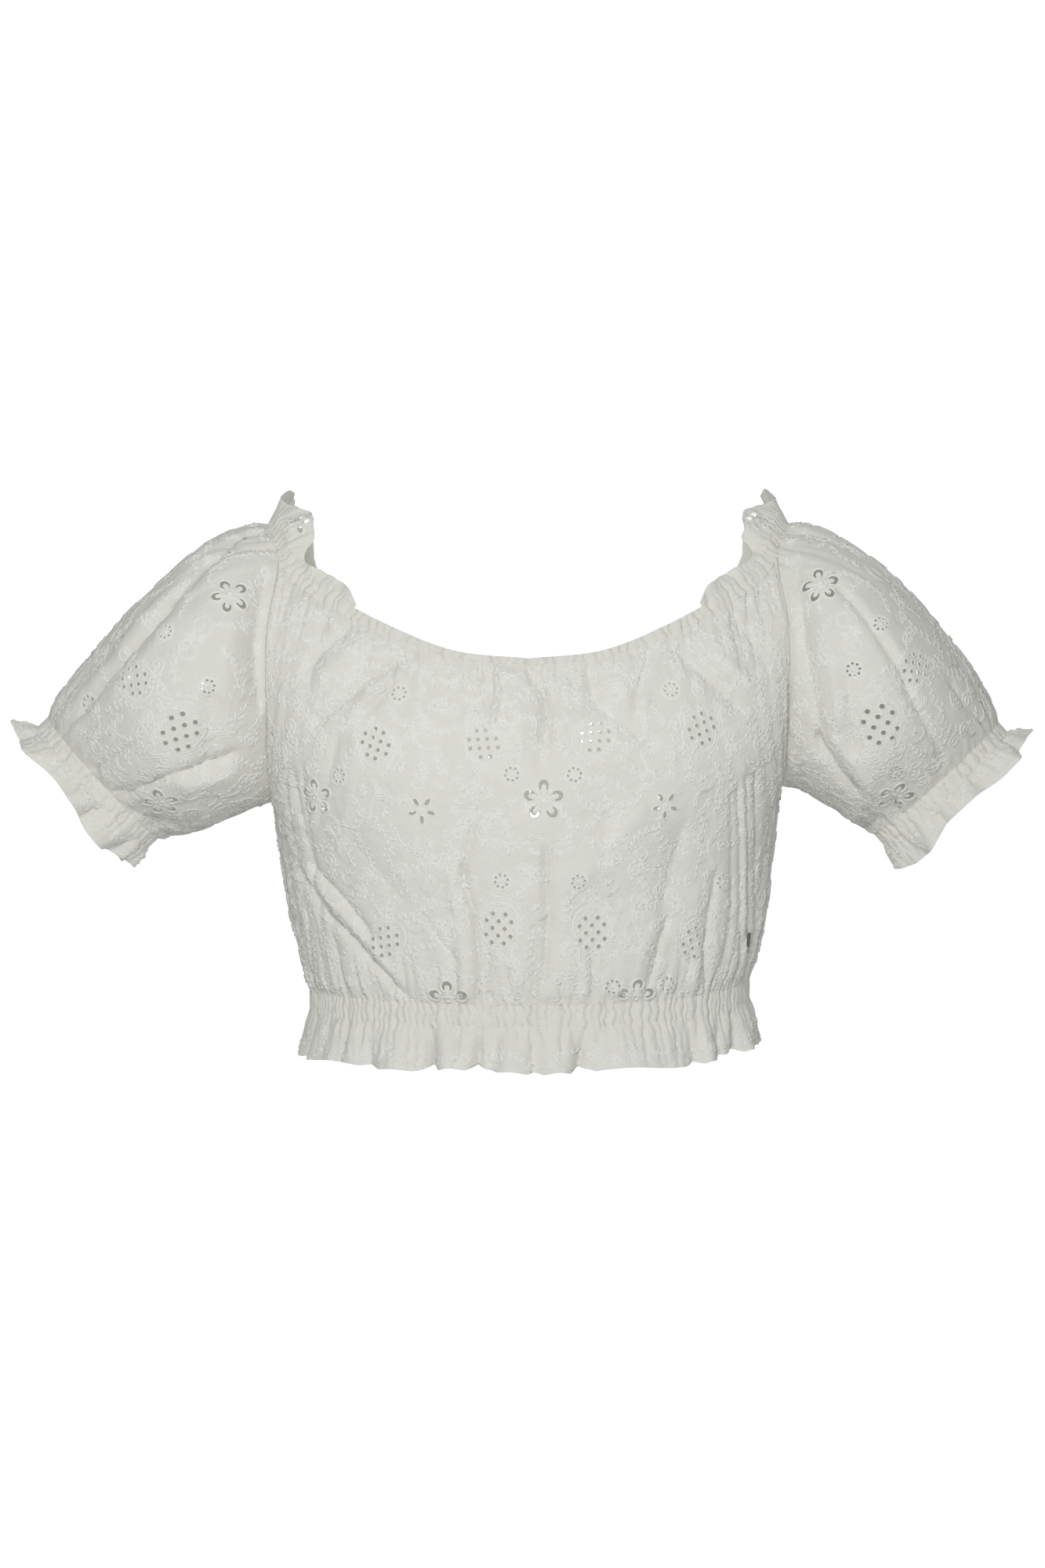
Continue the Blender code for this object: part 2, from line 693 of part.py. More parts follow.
def main():
    """Build the whole top."""
    clear_scene()
    collection = new_collection("eyelet_crop_top")
    cutters = new_collection("cutters")
    cloth = new_material("white_cotton", (0.72, 0.71, 0.67), 0.85)
    tag_colour = new_material("tag_woven", (0.09, 0.09, 0.09), 0.7)

    front_shape = make_panels(collection, cutters, cloth)
    for side in (LEFT, RIGHT):
        for face in (FRONT, BACK):
            make_sleeve(side, face, collection, cutters, cloth)
        make_heading(side, collection, cutters, cloth)

    neck_columns = NECK_GATHERS * POINTS_PER_GATHER
    cloth_sheet("neck_casing", neck_casing_point, neck_columns, 1, CASING_WALL, collection, cloth)
    waist_columns = WAIST_GATHERS * POINTS_PER_GATHER
    cloth_sheet("waist_casing", waist_casing_point, waist_columns, 1, CASING_WALL, collection, cloth)
    hem_columns = HEM_RUFFLE_WAVES * POINTS_PER_RUFFLE_WAVE
    cloth_sheet("hem_ruffle", hem_ruffle_point, hem_columns, 2, WALL, collection, cloth)

    cuff_columns = CUFF_GATHERS * POINTS_PER_GATHER
    ruffle_columns = CUFF_RUFFLE_WAVES * POINTS_PER_RUFFLE_WAVE
    for side, word in ((LEFT, "left"), (RIGHT, "right")):

        def casing(u, v):
            return cuff_casing_point(side, u, v)

        def ruffle(u, v):
            return cuff_ruffle_point(side, u, v)

        flip = side == LEFT
        cloth_sheet("cuff_casing_" + word, casing, cuff_columns, 1, CASING_WALL, collection, cloth, flip)
        cloth_sheet("cuff_ruffle_" + word, ruffle, ruffle_columns, 2, WALL, collection, cloth, flip)

    make_tag(front_shape, collection, tag_colour)


main()
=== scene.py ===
"""Looks of the cropped top in white cotton eyelet cloth.

The cloth's forms repeat the solids' own formulas at a finer step, with gathers,
creases, stitched eyelets and raised embroidery. Tables are in millimetres.
"""
import math
from collections import namedtuple

import bmesh
import bpy
import numpy as np
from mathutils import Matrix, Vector
from mathutils.geometry import delaunay_2d_cdt
from mathutils.kdtree import KDTree


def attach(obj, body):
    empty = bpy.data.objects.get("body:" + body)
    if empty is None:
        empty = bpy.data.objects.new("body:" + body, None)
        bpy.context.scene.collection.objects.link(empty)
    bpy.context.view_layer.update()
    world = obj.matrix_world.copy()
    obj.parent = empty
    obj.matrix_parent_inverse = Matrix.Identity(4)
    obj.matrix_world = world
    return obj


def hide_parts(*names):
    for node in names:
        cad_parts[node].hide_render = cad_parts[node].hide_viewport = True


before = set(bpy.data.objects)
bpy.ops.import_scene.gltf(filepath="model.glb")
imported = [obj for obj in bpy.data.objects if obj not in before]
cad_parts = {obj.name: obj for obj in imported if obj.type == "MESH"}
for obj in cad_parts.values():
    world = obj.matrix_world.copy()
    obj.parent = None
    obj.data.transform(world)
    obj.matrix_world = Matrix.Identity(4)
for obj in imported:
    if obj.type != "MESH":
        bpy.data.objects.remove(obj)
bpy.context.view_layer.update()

MM = 0.001
FRONT = 1
BACK = -1
LEFT = -1
RIGHT = 1
TAU = 2 * math.pi

# The photograph's frame, and the camera that gives its view
PHOTO_WIDTH = 1333
PHOTO_HEIGHT = 2000
PHOTO_MM = 0.52
PHOTO_CENTRE_X = 670
PHOTO_NECK_Y = 840
CAMERA_DISTANCE = 2600.0
REFERENCE_DEPTH = -60.0
SENSOR_MM = 36.0

CLOTH_WALL = 0.45
SHARP_ANGLE = math.radians(58)

NECK_FRONT_Z = -5.8
NECK_BACK_Z = -10.0
WAIST_FRONT_Z = -228.0
WAIST_BACK_Z = -226.0
WAIST_SIDE_Z = {LEFT: -222.0, RIGHT: -214.0}
UNDERARM_RISE = 8 / 18
NECK_CORNER = math.radians(45)
NECK_CORNER_TUCK = 9.0
NECK_CORNER_SPREAD = math.radians(25)
SIDE_TURN = math.radians(88)
NECK_TURN = math.radians(60)
NECK_CORNER_TURN = 65.0
CASING_HEIGHT_FRONT = 4.6
CASING_HEIGHT_SHOULDER = 11.0
NECK_LEAN_FRONT = math.radians(1)
NECK_LEAN_SHOULDER = math.radians(28)
WAIST_CASING_HEIGHT = 14.0
CUFF_CASING_HEIGHT = 9.0
HEM_RUFFLE_LENGTH = 30.0
HEM_RUFFLE_FLARE = 8.0

SideRow = namedtuple("SideRow", "share left right")
SIDE_SEAM = (
    SideRow(0.00, -145, 151),
    SideRow(0.08, -148, 154),
    SideRow(0.20, -152, 159),
    SideRow(0.40, -158, 164),
    SideRow(0.65, -164, 168),
    SideRow(1.00, -171, 173),
)
DepthRow = namedtuple("DepthRow", "rise front back")
BODY_DEPTH = (
    DepthRow(0.00, 98, 90),
    DepthRow(0.06, 103, 95),
    DepthRow(0.25, 110, 98),
    DepthRow(0.50, 118, 102),
    DepthRow(0.70, 120, 104),
    DepthRow(0.85, 113, 102),
    DepthRow(1.00, 100, 95),
)
NeckRow = namedtuple("NeckRow", "across front back")
NECK_RISE = (
    NeckRow(0.00, 0.00, 0.00),
    NeckRow(0.25, 0.07, 0.05),
    NeckRow(0.50, 0.31, 0.18),
    NeckRow(0.75, 0.60, 0.44),
    NeckRow(0.90, 0.80, 0.74),
    NeckRow(1.00, 1.00, 1.00),
)
SleeveRow = namedtuple("SleeveRow", "along top_x top_z low_x low_z depth")
SLEEVE = {
    LEFT: (
        SleeveRow(0.00, -174, 92, -171, -95, 62),
        SleeveRow(0.15, -200, 88, -187, -100, 82),
        SleeveRow(0.35, -233, 66, -205, -107, 89),
        SleeveRow(0.55, -268, 33, -222, -113, 84),
        SleeveRow(0.75, -298, -1, -234, -116, 70),
        SleeveRow(0.90, -316, -26, -243, -117, 54),
        SleeveRow(1.00, -323, -39, -250, -119, 43),
    ),
    RIGHT: (
        SleeveRow(0.00, 178, 93, 173, -84, 62),
        SleeveRow(0.15, 205, 87, 188, -87, 82),
        SleeveRow(0.35, 241, 64, 205, -96, 89),
        SleeveRow(0.55, 273, 33, 219, -105, 84),
        SleeveRow(0.75, 300, -2, 226, -109, 70),
        SleeveRow(0.90, 315, -29, 232, -112, 54),
        SleeveRow(1.00, 320, -42, 238, -117, 43),
    ),
}
CuffRow = namedtuple("CuffRow", "axis_x axis_z top_length low_length top_flare low_flare")
CUFF = {
    LEFT: CuffRow(-0.88, -0.47, 14, 23, 8, 3),
    RIGHT: CuffRow(0.74, -0.67, 15, 23, 8, 3),
}
HeadingRow = namedtuple("HeadingRow", "turn height lean")
HEADING = (
    HeadingRow(41, 3, 2),
    HeadingRow(45, 10, 8),
    HeadingRow(54, 10, 10),
    HeadingRow(62, 6, 14),
    HeadingRow(67, 16, 22),
    HeadingRow(74, 22, 28),
    HeadingRow(80, 14, 22),
    HeadingRow(85, 9, 10),
    HeadingRow(90, 17, 3),
    HeadingRow(95, 17, 3),
    HeadingRow(101, 12, 8),
    HeadingRow(110, 14, 14),
    HeadingRow(120, 9, 12),
    HeadingRow(130, 9, 8),
    HeadingRow(139, 3, 4),
)

# Folds as they show in the photograph, from one pixel to another; width and depth
# in millimetres. A minus depth is a trough, a plus depth a ridge.
Fold = namedtuple("Fold", "x0 y0 x1 y1 width depth")
FRONT_FOLDS = (
    Fold(672, 846, 694, 890, 3.2, -4.0),
    Fold(694, 885, 697, 945, 4.6, -6.5),
    Fold(697, 940, 688, 985, 6.0, -3.0),
    Fold(655, 856, 668, 950, 8.0, 2.6),
    Fold(720, 870, 716, 960, 9.0, 3.0),
    Fold(612, 842, 613, 874, 1.9, -3.2),
    Fold(598, 858, 606, 908, 8.0, -3.8),
    Fold(633, 846, 638, 885, 2.4, 2.8),
    Fold(638, 880, 628, 922, 2.2, 2.6),
    Fold(642, 870, 634, 925, 2.0, -1.4),
    Fold(745, 852, 765, 905, 7.0, -3.4),
    Fold(762, 898, 838, 958, 6.0, -3.2),
    Fold(790, 860, 800, 900, 6.0, 2.2),
    Fold(822, 846, 808, 922, 2.6, -2.4),
    Fold(834, 850, 820, 915, 4.0, 1.6),
    Fold(529, 832, 468, 866, 2.8, -4.4),
    Fold(468, 864, 400, 926, 3.6, -4.6),
    Fold(504, 866, 466, 908, 3.2, -4.8),
    Fold(520, 850, 440, 915, 3.4, 2.8),
    Fold(444, 796, 388, 854, 3.6, -4.2),
    Fold(470, 806, 405, 868, 6.0, 2.6),
    Fold(862, 826, 948, 908, 4.6, -3.4),
    Fold(905, 812, 965, 880, 6.0, 2.4),
    Fold(945, 790, 985, 850, 5.0, -2.6),
    Fold(560, 846, 552, 900, 5.0, -2.0),
    Fold(430, 935, 400, 1060, 3.0, -1.8),
    Fold(455, 940, 430, 1090, 5.0, 1.4),
    Fold(610, 1030, 600, 1068, 4.0, -1.6),
    Fold(601, 1058, 591, 1114, 2.6, -3.4),
    Fold(591, 1108, 606, 1180, 2.6, -4.6),
    Fold(606, 1176, 612, 1292, 2.8, -5.0),
    Fold(592, 1106, 583, 1136, 1.8, -2.0),
    Fold(574, 1110, 596, 1288, 6.0, 2.4),
    Fold(697, 1080, 699, 1180, 3.2, -5.0),
    Fold(699, 1176, 691, 1262, 3.0, -4.6),
    Fold(670, 1130, 668, 1262, 7.0, 2.4),
    Fold(722, 1110, 722, 1250, 8.0, 2.0),
    Fold(374, 1114, 420, 1175, 2.6, -3.4),
    Fold(418, 1172, 524, 1280, 2.8, -5.0),
    Fold(392, 1104, 474, 1194, 2.4, -3.4),
    Fold(384, 1112, 500, 1247, 3.0, 2.4),
    Fold(440, 1060, 520, 1160, 7.0, -1.6),
    Fold(360, 1000, 396, 1264, 1.9, -2.4),
    Fold(372, 985, 404, 1190, 1.9, -2.4),
    Fold(384, 980, 392, 1110, 1.9, -2.0),
    Fold(366, 1010, 388, 1230, 1.6, 1.6),
    Fold(753, 1215, 759, 1276, 2.2, -3.4),
    Fold(854, 1170, 828, 1262, 2.6, -4.4),
    Fold(840, 1160, 812, 1250, 6.0, 2.0),
    Fold(915, 1114, 905, 1200, 2.4, -3.2),
    Fold(905, 1194, 900, 1270, 2.4, -3.8),
    Fold(892, 1130, 884, 1262, 5.0, 1.8),
    Fold(822, 1030, 742, 1124, 12.0, 3.2),
    Fold(775, 1036, 768, 1104, 7.0, -2.6),
    Fold(872, 1050, 842, 1180, 8.0, -3.6),
    Fold(945, 1000, 952, 1236, 1.8, -2.4),
    Fold(957, 990, 962, 1236, 1.8, -2.6),
    Fold(969, 985, 972, 1210, 1.8, -2.2),
    Fold(934, 1010, 940, 1160, 1.8, -1.8),
    Fold(951, 1000, 957, 1220, 1.8, 1.6),
    Fold(620, 1208, 628, 1290, 2.0, -2.8),
    Fold(648, 1236, 651, 1290, 1.8, -2.4),
    Fold(672, 1246, 668, 1294, 1.8, -2.4),
    Fold(557, 1230, 561, 1274, 1.8, -2.0),
    Fold(540, 1166, 588, 1236, 1.7, -1.2),
)
BACK_FOLDS = (
    Fold(676, 852, 668, 1000, 5.0, -4.2),
    Fold(640, 856, 628, 960, 6.0, 2.6),
    Fold(712, 854, 730, 950, 6.0, 2.4),
    Fold(590, 848, 575, 925, 3.0, -3.0),
    Fold(800, 850, 822, 940, 3.2, -3.2),
    Fold(500, 826, 440, 950, 5.0, -3.4),
    Fold(850, 826, 912, 955, 5.0, -3.4),
    Fold(540, 840, 500, 930, 6.0, 2.2),
    Fold(582, 1090, 574, 1276, 3.2, -4.2),
    Fold(560, 1110, 556, 1270, 6.0, 2.0),
    Fold(756, 1080, 772, 1276, 3.4, -4.2),
    Fold(670, 1130, 672, 1276, 4.0, -2.6),
    Fold(884, 1110, 834, 1276, 3.4, -3.8),
    Fold(430, 1100, 482, 1276, 3.4, -3.4),
    Fold(380, 1000, 392, 1240, 2.0, -2.4),
    Fold(394, 990, 404, 1200, 2.0, -2.2),
    Fold(952, 1000, 944, 1240, 2.0, -2.4),
    Fold(938, 990, 930, 1200, 2.0, -2.2),
    Fold(700, 1000, 640, 1090, 12.0, 2.6),
)
SLEEVE_FOLDS = {
    LEFT: (
        Fold(300, 684, 215, 778, 3.4, -4.6),
        Fold(218, 772, 104, 908, 3.0, -7.0),
        Fold(262, 690, 150, 832, 7.0, 3.2),
        Fold(236, 780, 140, 900, 7.0, 1.8),
        Fold(166, 798, 94, 878, 2.2, -2.2),
        Fold(337, 730, 326, 832, 4.6, -5.5),
        Fold(326, 828, 331, 905, 4.6, -5.5),
        Fold(300, 790, 292, 900, 8.0, 2.6),
        Fold(278, 884, 266, 984, 6.0, -4.0),
        Fold(158, 1014, 240, 986, 2.8, -4.4),
        Fold(238, 987, 308, 962, 3.0, -5.4),
        Fold(232, 1004, 305, 984, 7.0, 4.2),
        Fold(150, 1030, 226, 1052, 3.2, -3.0),
        Fold(110, 925, 160, 905, 3.0, -2.0),
        Fold(112, 985, 175, 950, 3.0, -2.4),
        Fold(130, 1015, 190, 1000, 3.0, -2.0),
    ),
    RIGHT: (
        Fold(1014, 716, 1026, 830, 3.6, -4.6),
        Fold(1026, 824, 1046, 965, 4.6, -4.0),
        Fold(1000, 750, 1008, 900, 6.0, 2.2),
        Fold(1044, 790, 1064, 930, 6.0, 2.6),
        Fold(1064, 746, 1122, 826, 3.2, -3.4),
        Fold(1120, 820, 1152, 884, 3.2, -4.2),
        Fold(1150, 878, 1200, 970, 3.4, -3.4),
        Fold(1082, 760, 1150, 850, 8.0, 2.2),
        Fold(1076, 858, 1082, 962, 6.0, -3.8),
        Fold(1036, 940, 1096, 1016, 3.4, -4.6),
        Fold(1058, 940, 1112, 1010, 4.6, 3.0),
        Fold(1150, 720, 1236, 850, 9.0, -2.4),
        Fold(1206, 866, 1262, 932, 2.2, -2.4),
        Fold(1130, 700, 1200, 770, 5.0, 2.0),
        Fold(1190, 960, 1232, 986, 3.0, -2.4),
        Fold(1120, 1000, 1150, 1036, 3.0, -2.4),
    ),
}
SLEEVE_LENGTH = 150.0
PANEL_ARC = 440.0
PANEL_RISE = 232.0

# Pleats of cloth drawn up on elastic: the close puckers of the band itself, and
# the wider pleats that run out of it, fading over a distance
Gather = namedtuple("Gather", "spacing width depth fade")
PUCKER = Gather(5.2, 1.0, 3.0, 9.0)
WIDE_PLEATS = (
    Gather(8.6, 1.3, 3.4, 13.0),
    Gather(14.0, 1.8, 4.4, 22.0),
    Gather(27.0, 2.6, 4.0, 38.0),
)
NECK_GIRTH = 920.0
WAIST_GIRTH = 900.0
CUFF_GIRTH = 255.0


def lerp(start, end, share):
    """Return the value a share of the way from start to end."""
    return start + (end - start) * share


def smooth(share):
    """Ease a share from 0 to 1 with level ends."""
    share = np.clip(share, 0.0, 1.0)
    return share * share * (3.0 - 2.0 * share)


def smooth_rows(rows, at):
    """Return values on smooth curves through a table's rows, one column each."""
    table = np.array(rows, float)
    index = np.clip(np.searchsorted(table[:, 0], at, side="right") - 1, 0, len(rows) - 2)
    low = table[index]
    high = table[index + 1]
    before = table[np.maximum(index - 1, 0)]
    after = table[np.minimum(index + 2, len(rows) - 1)]
    span = (high[:, 0] - low[:, 0])[:, None]
    share = (at[:, None] - low[:, :1]) / span
    slope_low = (high - before) / (high[:, :1] - before[:, :1])
    slope_high = (after - low) / (after[:, :1] - low[:, :1])
    cube = share ** 3
    square = share ** 2
    return (
        (2 * cube - 3 * square + 1) * low
        + (cube - 2 * square + share) * span * slope_low
        + (3 * square - 2 * cube) * high
        + (cube - square) * span * slope_high
    )


DENSE_STEPS = 2001
dense_tables = {}


def read_rows(rows, at):
    """Return a row of arrays at places along a table's smooth curves."""
    if id(rows) not in dense_tables:
        places = np.linspace(rows[0][0], rows[-1][0], DENSE_STEPS)
        dense_tables[id(rows)] = places, smooth_rows(rows, places)
    places, values = dense_tables[id(rows)]
    return type(rows[0])(*(np.interp(at, places, column) for column in values.T))


def stack(x, y, z):
    """Join coordinates into an array of points."""
    x, y, z = np.broadcast_arrays(x, y, z)
    return np.stack((x, y, z), axis=-1).astype(float)


def unit(vectors):
    """Scale vectors to length 1."""
    return vectors / np.maximum(np.linalg.norm(vectors, axis=-1, keepdims=True), 1e-9)


def ripple(a, b, seed):
    """Return a gentle uneven wave over a surface, about -1 to 1."""
    total = 0.0
    for k in range(1, 5):
        angle = seed * 1.7 + k * 2.399
        total = total + np.sin((a * math.cos(angle) + b * math.sin(angle)) * k * 0.62 + seed * k)
    return total / 2.6


def fold_offset(folds, x, z, depth_y, mirror=1):
    """Sum the soft troughs and ridges of folds that the photograph shows."""
    scale = PHOTO_MM * (CAMERA_DISTANCE + depth_y) / (CAMERA_DISTANCE + REFERENCE_DEPTH)
    pixel_x = PHOTO_CENTRE_X + mirror * x / scale
    pixel_y = PHOTO_HEIGHT / 2 - (z - (PHOTO_NECK_Y - PHOTO_HEIGHT / 2) * PHOTO_MM) / scale
    total = 0.0
    for fold in folds:
        along_x = fold.x1 - fold.x0
        along_y = fold.y1 - fold.y0
        length = math.hypot(along_x, along_y)
        share = ((pixel_x - fold.x0) * along_x + (pixel_y - fold.y0) * along_y) / length ** 2
        aside = ((pixel_x - fold.x0) * along_y - (pixel_y - fold.y0) * along_x) / length * PHOTO_MM
        aside = aside + 0.7 * np.sin(share * 5.0 + fold.x0)
        ends = min(0.2, 12.0 / length)
        fade = smooth((share + ends) / (2 * ends)) * smooth((1 + ends - share) / (2 * ends))
        total = total + fold.depth * fade * np.exp(-(np.abs(aside / fold.width) ** 1.35))
    return total


def scatter(cell, seed):
    """Return an uneven but fixed share from 0 to 1 for each whole number."""
    return np.mod(np.sin(cell * 12.9898 + seed * 78.233) * 43758.5453, 1.0)


def pleats(around, girth, gather, seed, distance):
    """Return uneven pleats round a ring, fading with distance from its elastic."""
    total = 0.0
    count = round(girth / gather.spacing)
    spacing = girth / count
    here = np.floor(around / spacing)
    for step in (-1, 0, 1):
        cell = np.mod(here + step, count)
        centre = (here + step + 0.5 + 0.55 * (scatter(cell, seed) - 0.5)) * spacing
        fade = gather.fade * (0.4 + 1.2 * scatter(cell, seed + 2))
        lean = 0.3 * (scatter(cell, seed + 4) - 0.5) * distance
        width = gather.width * (0.7 + 0.6 * scatter(cell, seed + 3)) * (1 + distance / 60)
        size = gather.depth * (0.3 + 0.7 * scatter(cell, seed + 1)) * np.exp(-distance / fade)
        total = total - size * np.exp(-(np.abs((around - centre - lean) / width) ** 1.3))
    return total + gather.depth * 0.3 * np.exp(-distance / gather.fade)


def elastic(around, girth, height, start, end, seed):
    """Return how cloth gathers where elastic draws it up between two heights."""
    away = np.maximum(start - height, 0) + np.maximum(height - end, 0)
    zigzag = np.sin(height * 0.5 + 2.0 * np.sin(around * TAU * 29 / girth))
    bent = around + 0.9 * zigzag * np.exp(-away / 9)
    total = pleats(bent, girth, PUCKER, seed, away)
    for k, gather in enumerate(WIDE_PLEATS):
        total = total + pleats(bent, girth, gather, seed + 5 * k + 5, away) * (0.15 + 0.85 * smooth(away / 9))
    return total


def sleeve_point(side, along, angle):
    """Return points of a sleeve; angle runs from its top round the front."""
    row = read_rows(SLEEVE[side], along)
    reach = 0.5 + 0.5 * np.cos(angle)
    x = lerp(row.low_x, row.top_x, reach)
    z = lerp(row.low_z, row.top_z, reach)
    y = -row.depth * np.sin(angle)
    turn = np.abs(np.remainder(angle + math.pi, TAU) - math.pi)
    tuck = NECK_CORNER_TUCK * np.exp(-(((turn - NECK_CORNER) / NECK_CORNER_SPREAD) ** 2))
    x = x - side * tuck * (1 - smooth(along / 0.3))
    return stack(x, y, z)


def sleeve_surface(side, along, angle):
    """Return sleeve points with their folds and gathers."""
    along = np.asarray(along, float)
    point = sleeve_point(side, along, angle)
    row = read_rows(SLEEVE[side], along)
    centre = stack((row.top_x + row.low_x) / 2, 0, (row.top_z + row.low_z) / 2)
    turn = np.abs(np.remainder(angle + math.pi, TAU) - math.pi)
    flat = along * SLEEVE_LENGTH
    window = smooth(along / 0.04) * smooth((1 - along) / 0.05)
    facing = smooth(np.abs(np.sin(angle)) / 0.45)
    size = np.where(np.sin(angle) > 0, 1.0, 0.85)
    offset = size * fold_offset(SLEEVE_FOLDS[side], point[..., 0], point[..., 2], -45.0) * facing * window
    offset = offset + 0.9 * ripple(flat / 16, angle * 3.4, 3.0 + side) * window
    cuff_around = np.remainder(angle / TAU, 1) * CUFF_GIRTH
    offset = offset + elastic(cuff_around, CUFF_GIRTH, flat - SLEEVE_LENGTH, 0, CUFF_CASING_HEIGHT, 3.0 + side)
    signed = np.remainder(angle + math.pi, TAU) - math.pi
    neck_turn = side * (90 - (90 - NECK_CORNER_TURN) * np.clip(signed / NECK_CORNER, -1.6, 1.6))
    neck = smooth((math.radians(68) - turn) / math.radians(26))
    offset = offset + elastic((neck_turn + 180) / 360 * NECK_GIRTH, NECK_GIRTH, -flat, 0, 0, 1.0) * neck
    return point + unit(point - centre) * offset[..., None]


def edge_point(side, face, rise):
    """Return a front or back panel's side edge: side seam, then armhole."""
    rise = np.asarray(rise, float)
    mid_z = (SLEEVE[side][0].top_z + SLEEVE[side][0].low_z) / 2
    half = (SLEEVE[side][0].top_z - SLEEVE[side][0].low_z) / 2
    underarm_z = mid_z - half
    share = np.clip(rise / UNDERARM_RISE, 0, 1)
    row = read_rows(SIDE_SEAM, share)
    x = row.left if side == LEFT else row.right
    seam = stack(x, 0.0, lerp(WAIST_SIDE_Z[side], underarm_z, share))
    corner_z = mid_z + half * math.cos(NECK_CORNER)
    upper = np.clip((rise - UNDERARM_RISE) / (1 - UNDERARM_RISE), 0, 1)
    z = lerp(underarm_z, corner_z, upper)
    angle = np.arccos(np.clip((z - mid_z) / half, -1, 1))
    armhole = sleeve_point(side, np.zeros_like(rise), angle * face)
    return np.where((rise < UNDERARM_RISE)[..., None], seam, armhole)


EDGE_BLEND = 0.12
edge_tables = {}


def read_edge(side, face, rise):
    """Return a side edge's points, and their depths smoothed past the underarm."""
    if (side, face) not in edge_tables:
        places = np.linspace(0, 1, DENSE_STEPS)
        points = edge_point(side, face, places)
        nearby = [edge_point(side, face, np.clip(places + s, 0, 1))[:, 1] for s in np.linspace(-EDGE_BLEND, EDGE_BLEND, 9)]
        edge_tables[side, face] = places, np.column_stack((points, np.mean(nearby, axis=0)))
    places, values = edge_tables[side, face]
    return np.stack([np.interp(rise, places, column) for column in values.T], axis=-1)


def panel_point(face, across, rise):
    """Return points of the front or back before their folds."""
    across, rise = np.broadcast_arrays(np.asarray(across, float), np.asarray(rise, float))
    left = read_edge(LEFT, face, rise)
    right = read_edge(RIGHT, face, rise)
    side_share = (across + 1) / 2
    turn = lerp(SIDE_TURN, NECK_TURN, smooth((rise - UNDERARM_RISE) / (1 - UNDERARM_RISE)))
    depth_row = read_rows(BODY_DEPTH, rise)
    depth = depth_row.front if face == FRONT else -depth_row.back
    half = (right[..., 0] - left[..., 0]) / 2
    x = (left[..., 0] + right[..., 0]) / 2 + half * np.sin(turn * across) / np.sin(turn)
    exact = lerp(left[..., 1], right[..., 1], side_share)
    soft = lerp(left[..., 3], right[..., 3], side_share)
    inward = smooth((1 - np.abs(across)) / 0.3) * smooth((1 - rise) / 0.15)
    edge_y = lerp(exact, soft, inward)
    crown = (np.cos(turn * across) - np.cos(turn)) / (1 - np.cos(turn))
    y = edge_y + (-depth - edge_y) * crown
    neck_row = read_rows(NECK_RISE, np.abs(across))
    neck_rise = neck_row.front if face == FRONT else neck_row.back
    waist_rise = 1 - np.cos(math.pi / 2 * across)
    middle_low = WAIST_FRONT_Z if face == FRONT else WAIST_BACK_Z
    middle_high = NECK_FRONT_Z if face == FRONT else NECK_BACK_Z
    middle_z = lerp(middle_low, middle_high, rise)
    edge_z = lerp(left[..., 2], right[..., 2], smooth(side_share))
    z = lerp(middle_z, edge_z, lerp(waist_rise, neck_rise, rise))
    return stack(x, y, z)


def panel_turn(face, across, reach):
    """Return the turns in degrees from the front where a panel's edge shows."""
    if face == FRONT:
        return across * reach
    side = np.where(across > 0, 1.0, -1.0)
    return side * (180 - reach * np.abs(across))


def panel_surface(face, across, rise):
    """Return front or back points with their folds and gathers."""
    point = panel_point(face, across, rise)
    x = point[..., 0]
    z = point[..., 2]
    folds = FRONT_FOLDS if face == FRONT else BACK_FOLDS
    inner = 1 - np.abs(across)
    window = smooth(inner / 0.05) * smooth(rise / 0.03) * smooth((1 - rise) / 0.025)
    offset = fold_offset(folds, x, z, -105.0) * window
    offset = offset + 0.8 * ripple(x / 17, z / 22, 2.0 + face) * window
    neck_turn = panel_turn(face, across, NECK_CORNER_TURN)
    neck = elastic((neck_turn + 180) / 360 * NECK_GIRTH, NECK_GIRTH, (rise - 1) * PANEL_RISE, 0, 0, 1.0)
    waist_turn = panel_turn(face, across, 90.0)
    around = (waist_turn + 180) / 360 * WAIST_GIRTH
    waist = elastic(around, WAIST_GIRTH, rise * PANEL_RISE, -WAIST_CASING_HEIGHT, 0, 2.0)
    offset = offset + 0.8 * neck * smooth(inner / 0.03) + waist
    side_crease = np.sin(inner * 80 + 3.0 * np.sin(rise * 6)) * np.exp(-inner / 0.13)
    offset = offset + 1.1 * side_crease * smooth(inner / 0.02) * smooth((0.9 - rise) / 0.4)
    outward = unit(stack(x * 0.3, point[..., 1], 0 * x))
    return point + outward * offset[..., None]


def neck_base(turn):
    """Return the neckline's lower edge at turns in degrees from the front."""
    turn = np.remainder(np.asarray(turn, float) + 180, 360) - 180
    side = np.where(turn > 0, 1.0, -1.0)
    size = np.abs(turn)
    front = panel_point(FRONT, np.clip(turn / NECK_CORNER_TURN, -1, 1), np.ones_like(turn))
    back_across = side * np.clip((180 - size) / NECK_CORNER_TURN, 0, 1)
    back = panel_point(BACK, back_across, np.ones_like(turn))
    share = np.clip((90 - size) / (90 - NECK_CORNER_TURN), -1, 1)
    left = sleeve_point(LEFT, np.zeros_like(turn), NECK_CORNER * share)
    right = sleeve_point(RIGHT, np.zeros_like(turn), NECK_CORNER * share)
    shoulder = np.where((turn > 0)[..., None], right, left)
    result = np.where((size <= NECK_CORNER_TURN)[..., None], front, shoulder)
    return np.where((size >= 180 - NECK_CORNER_TURN)[..., None], back, result)


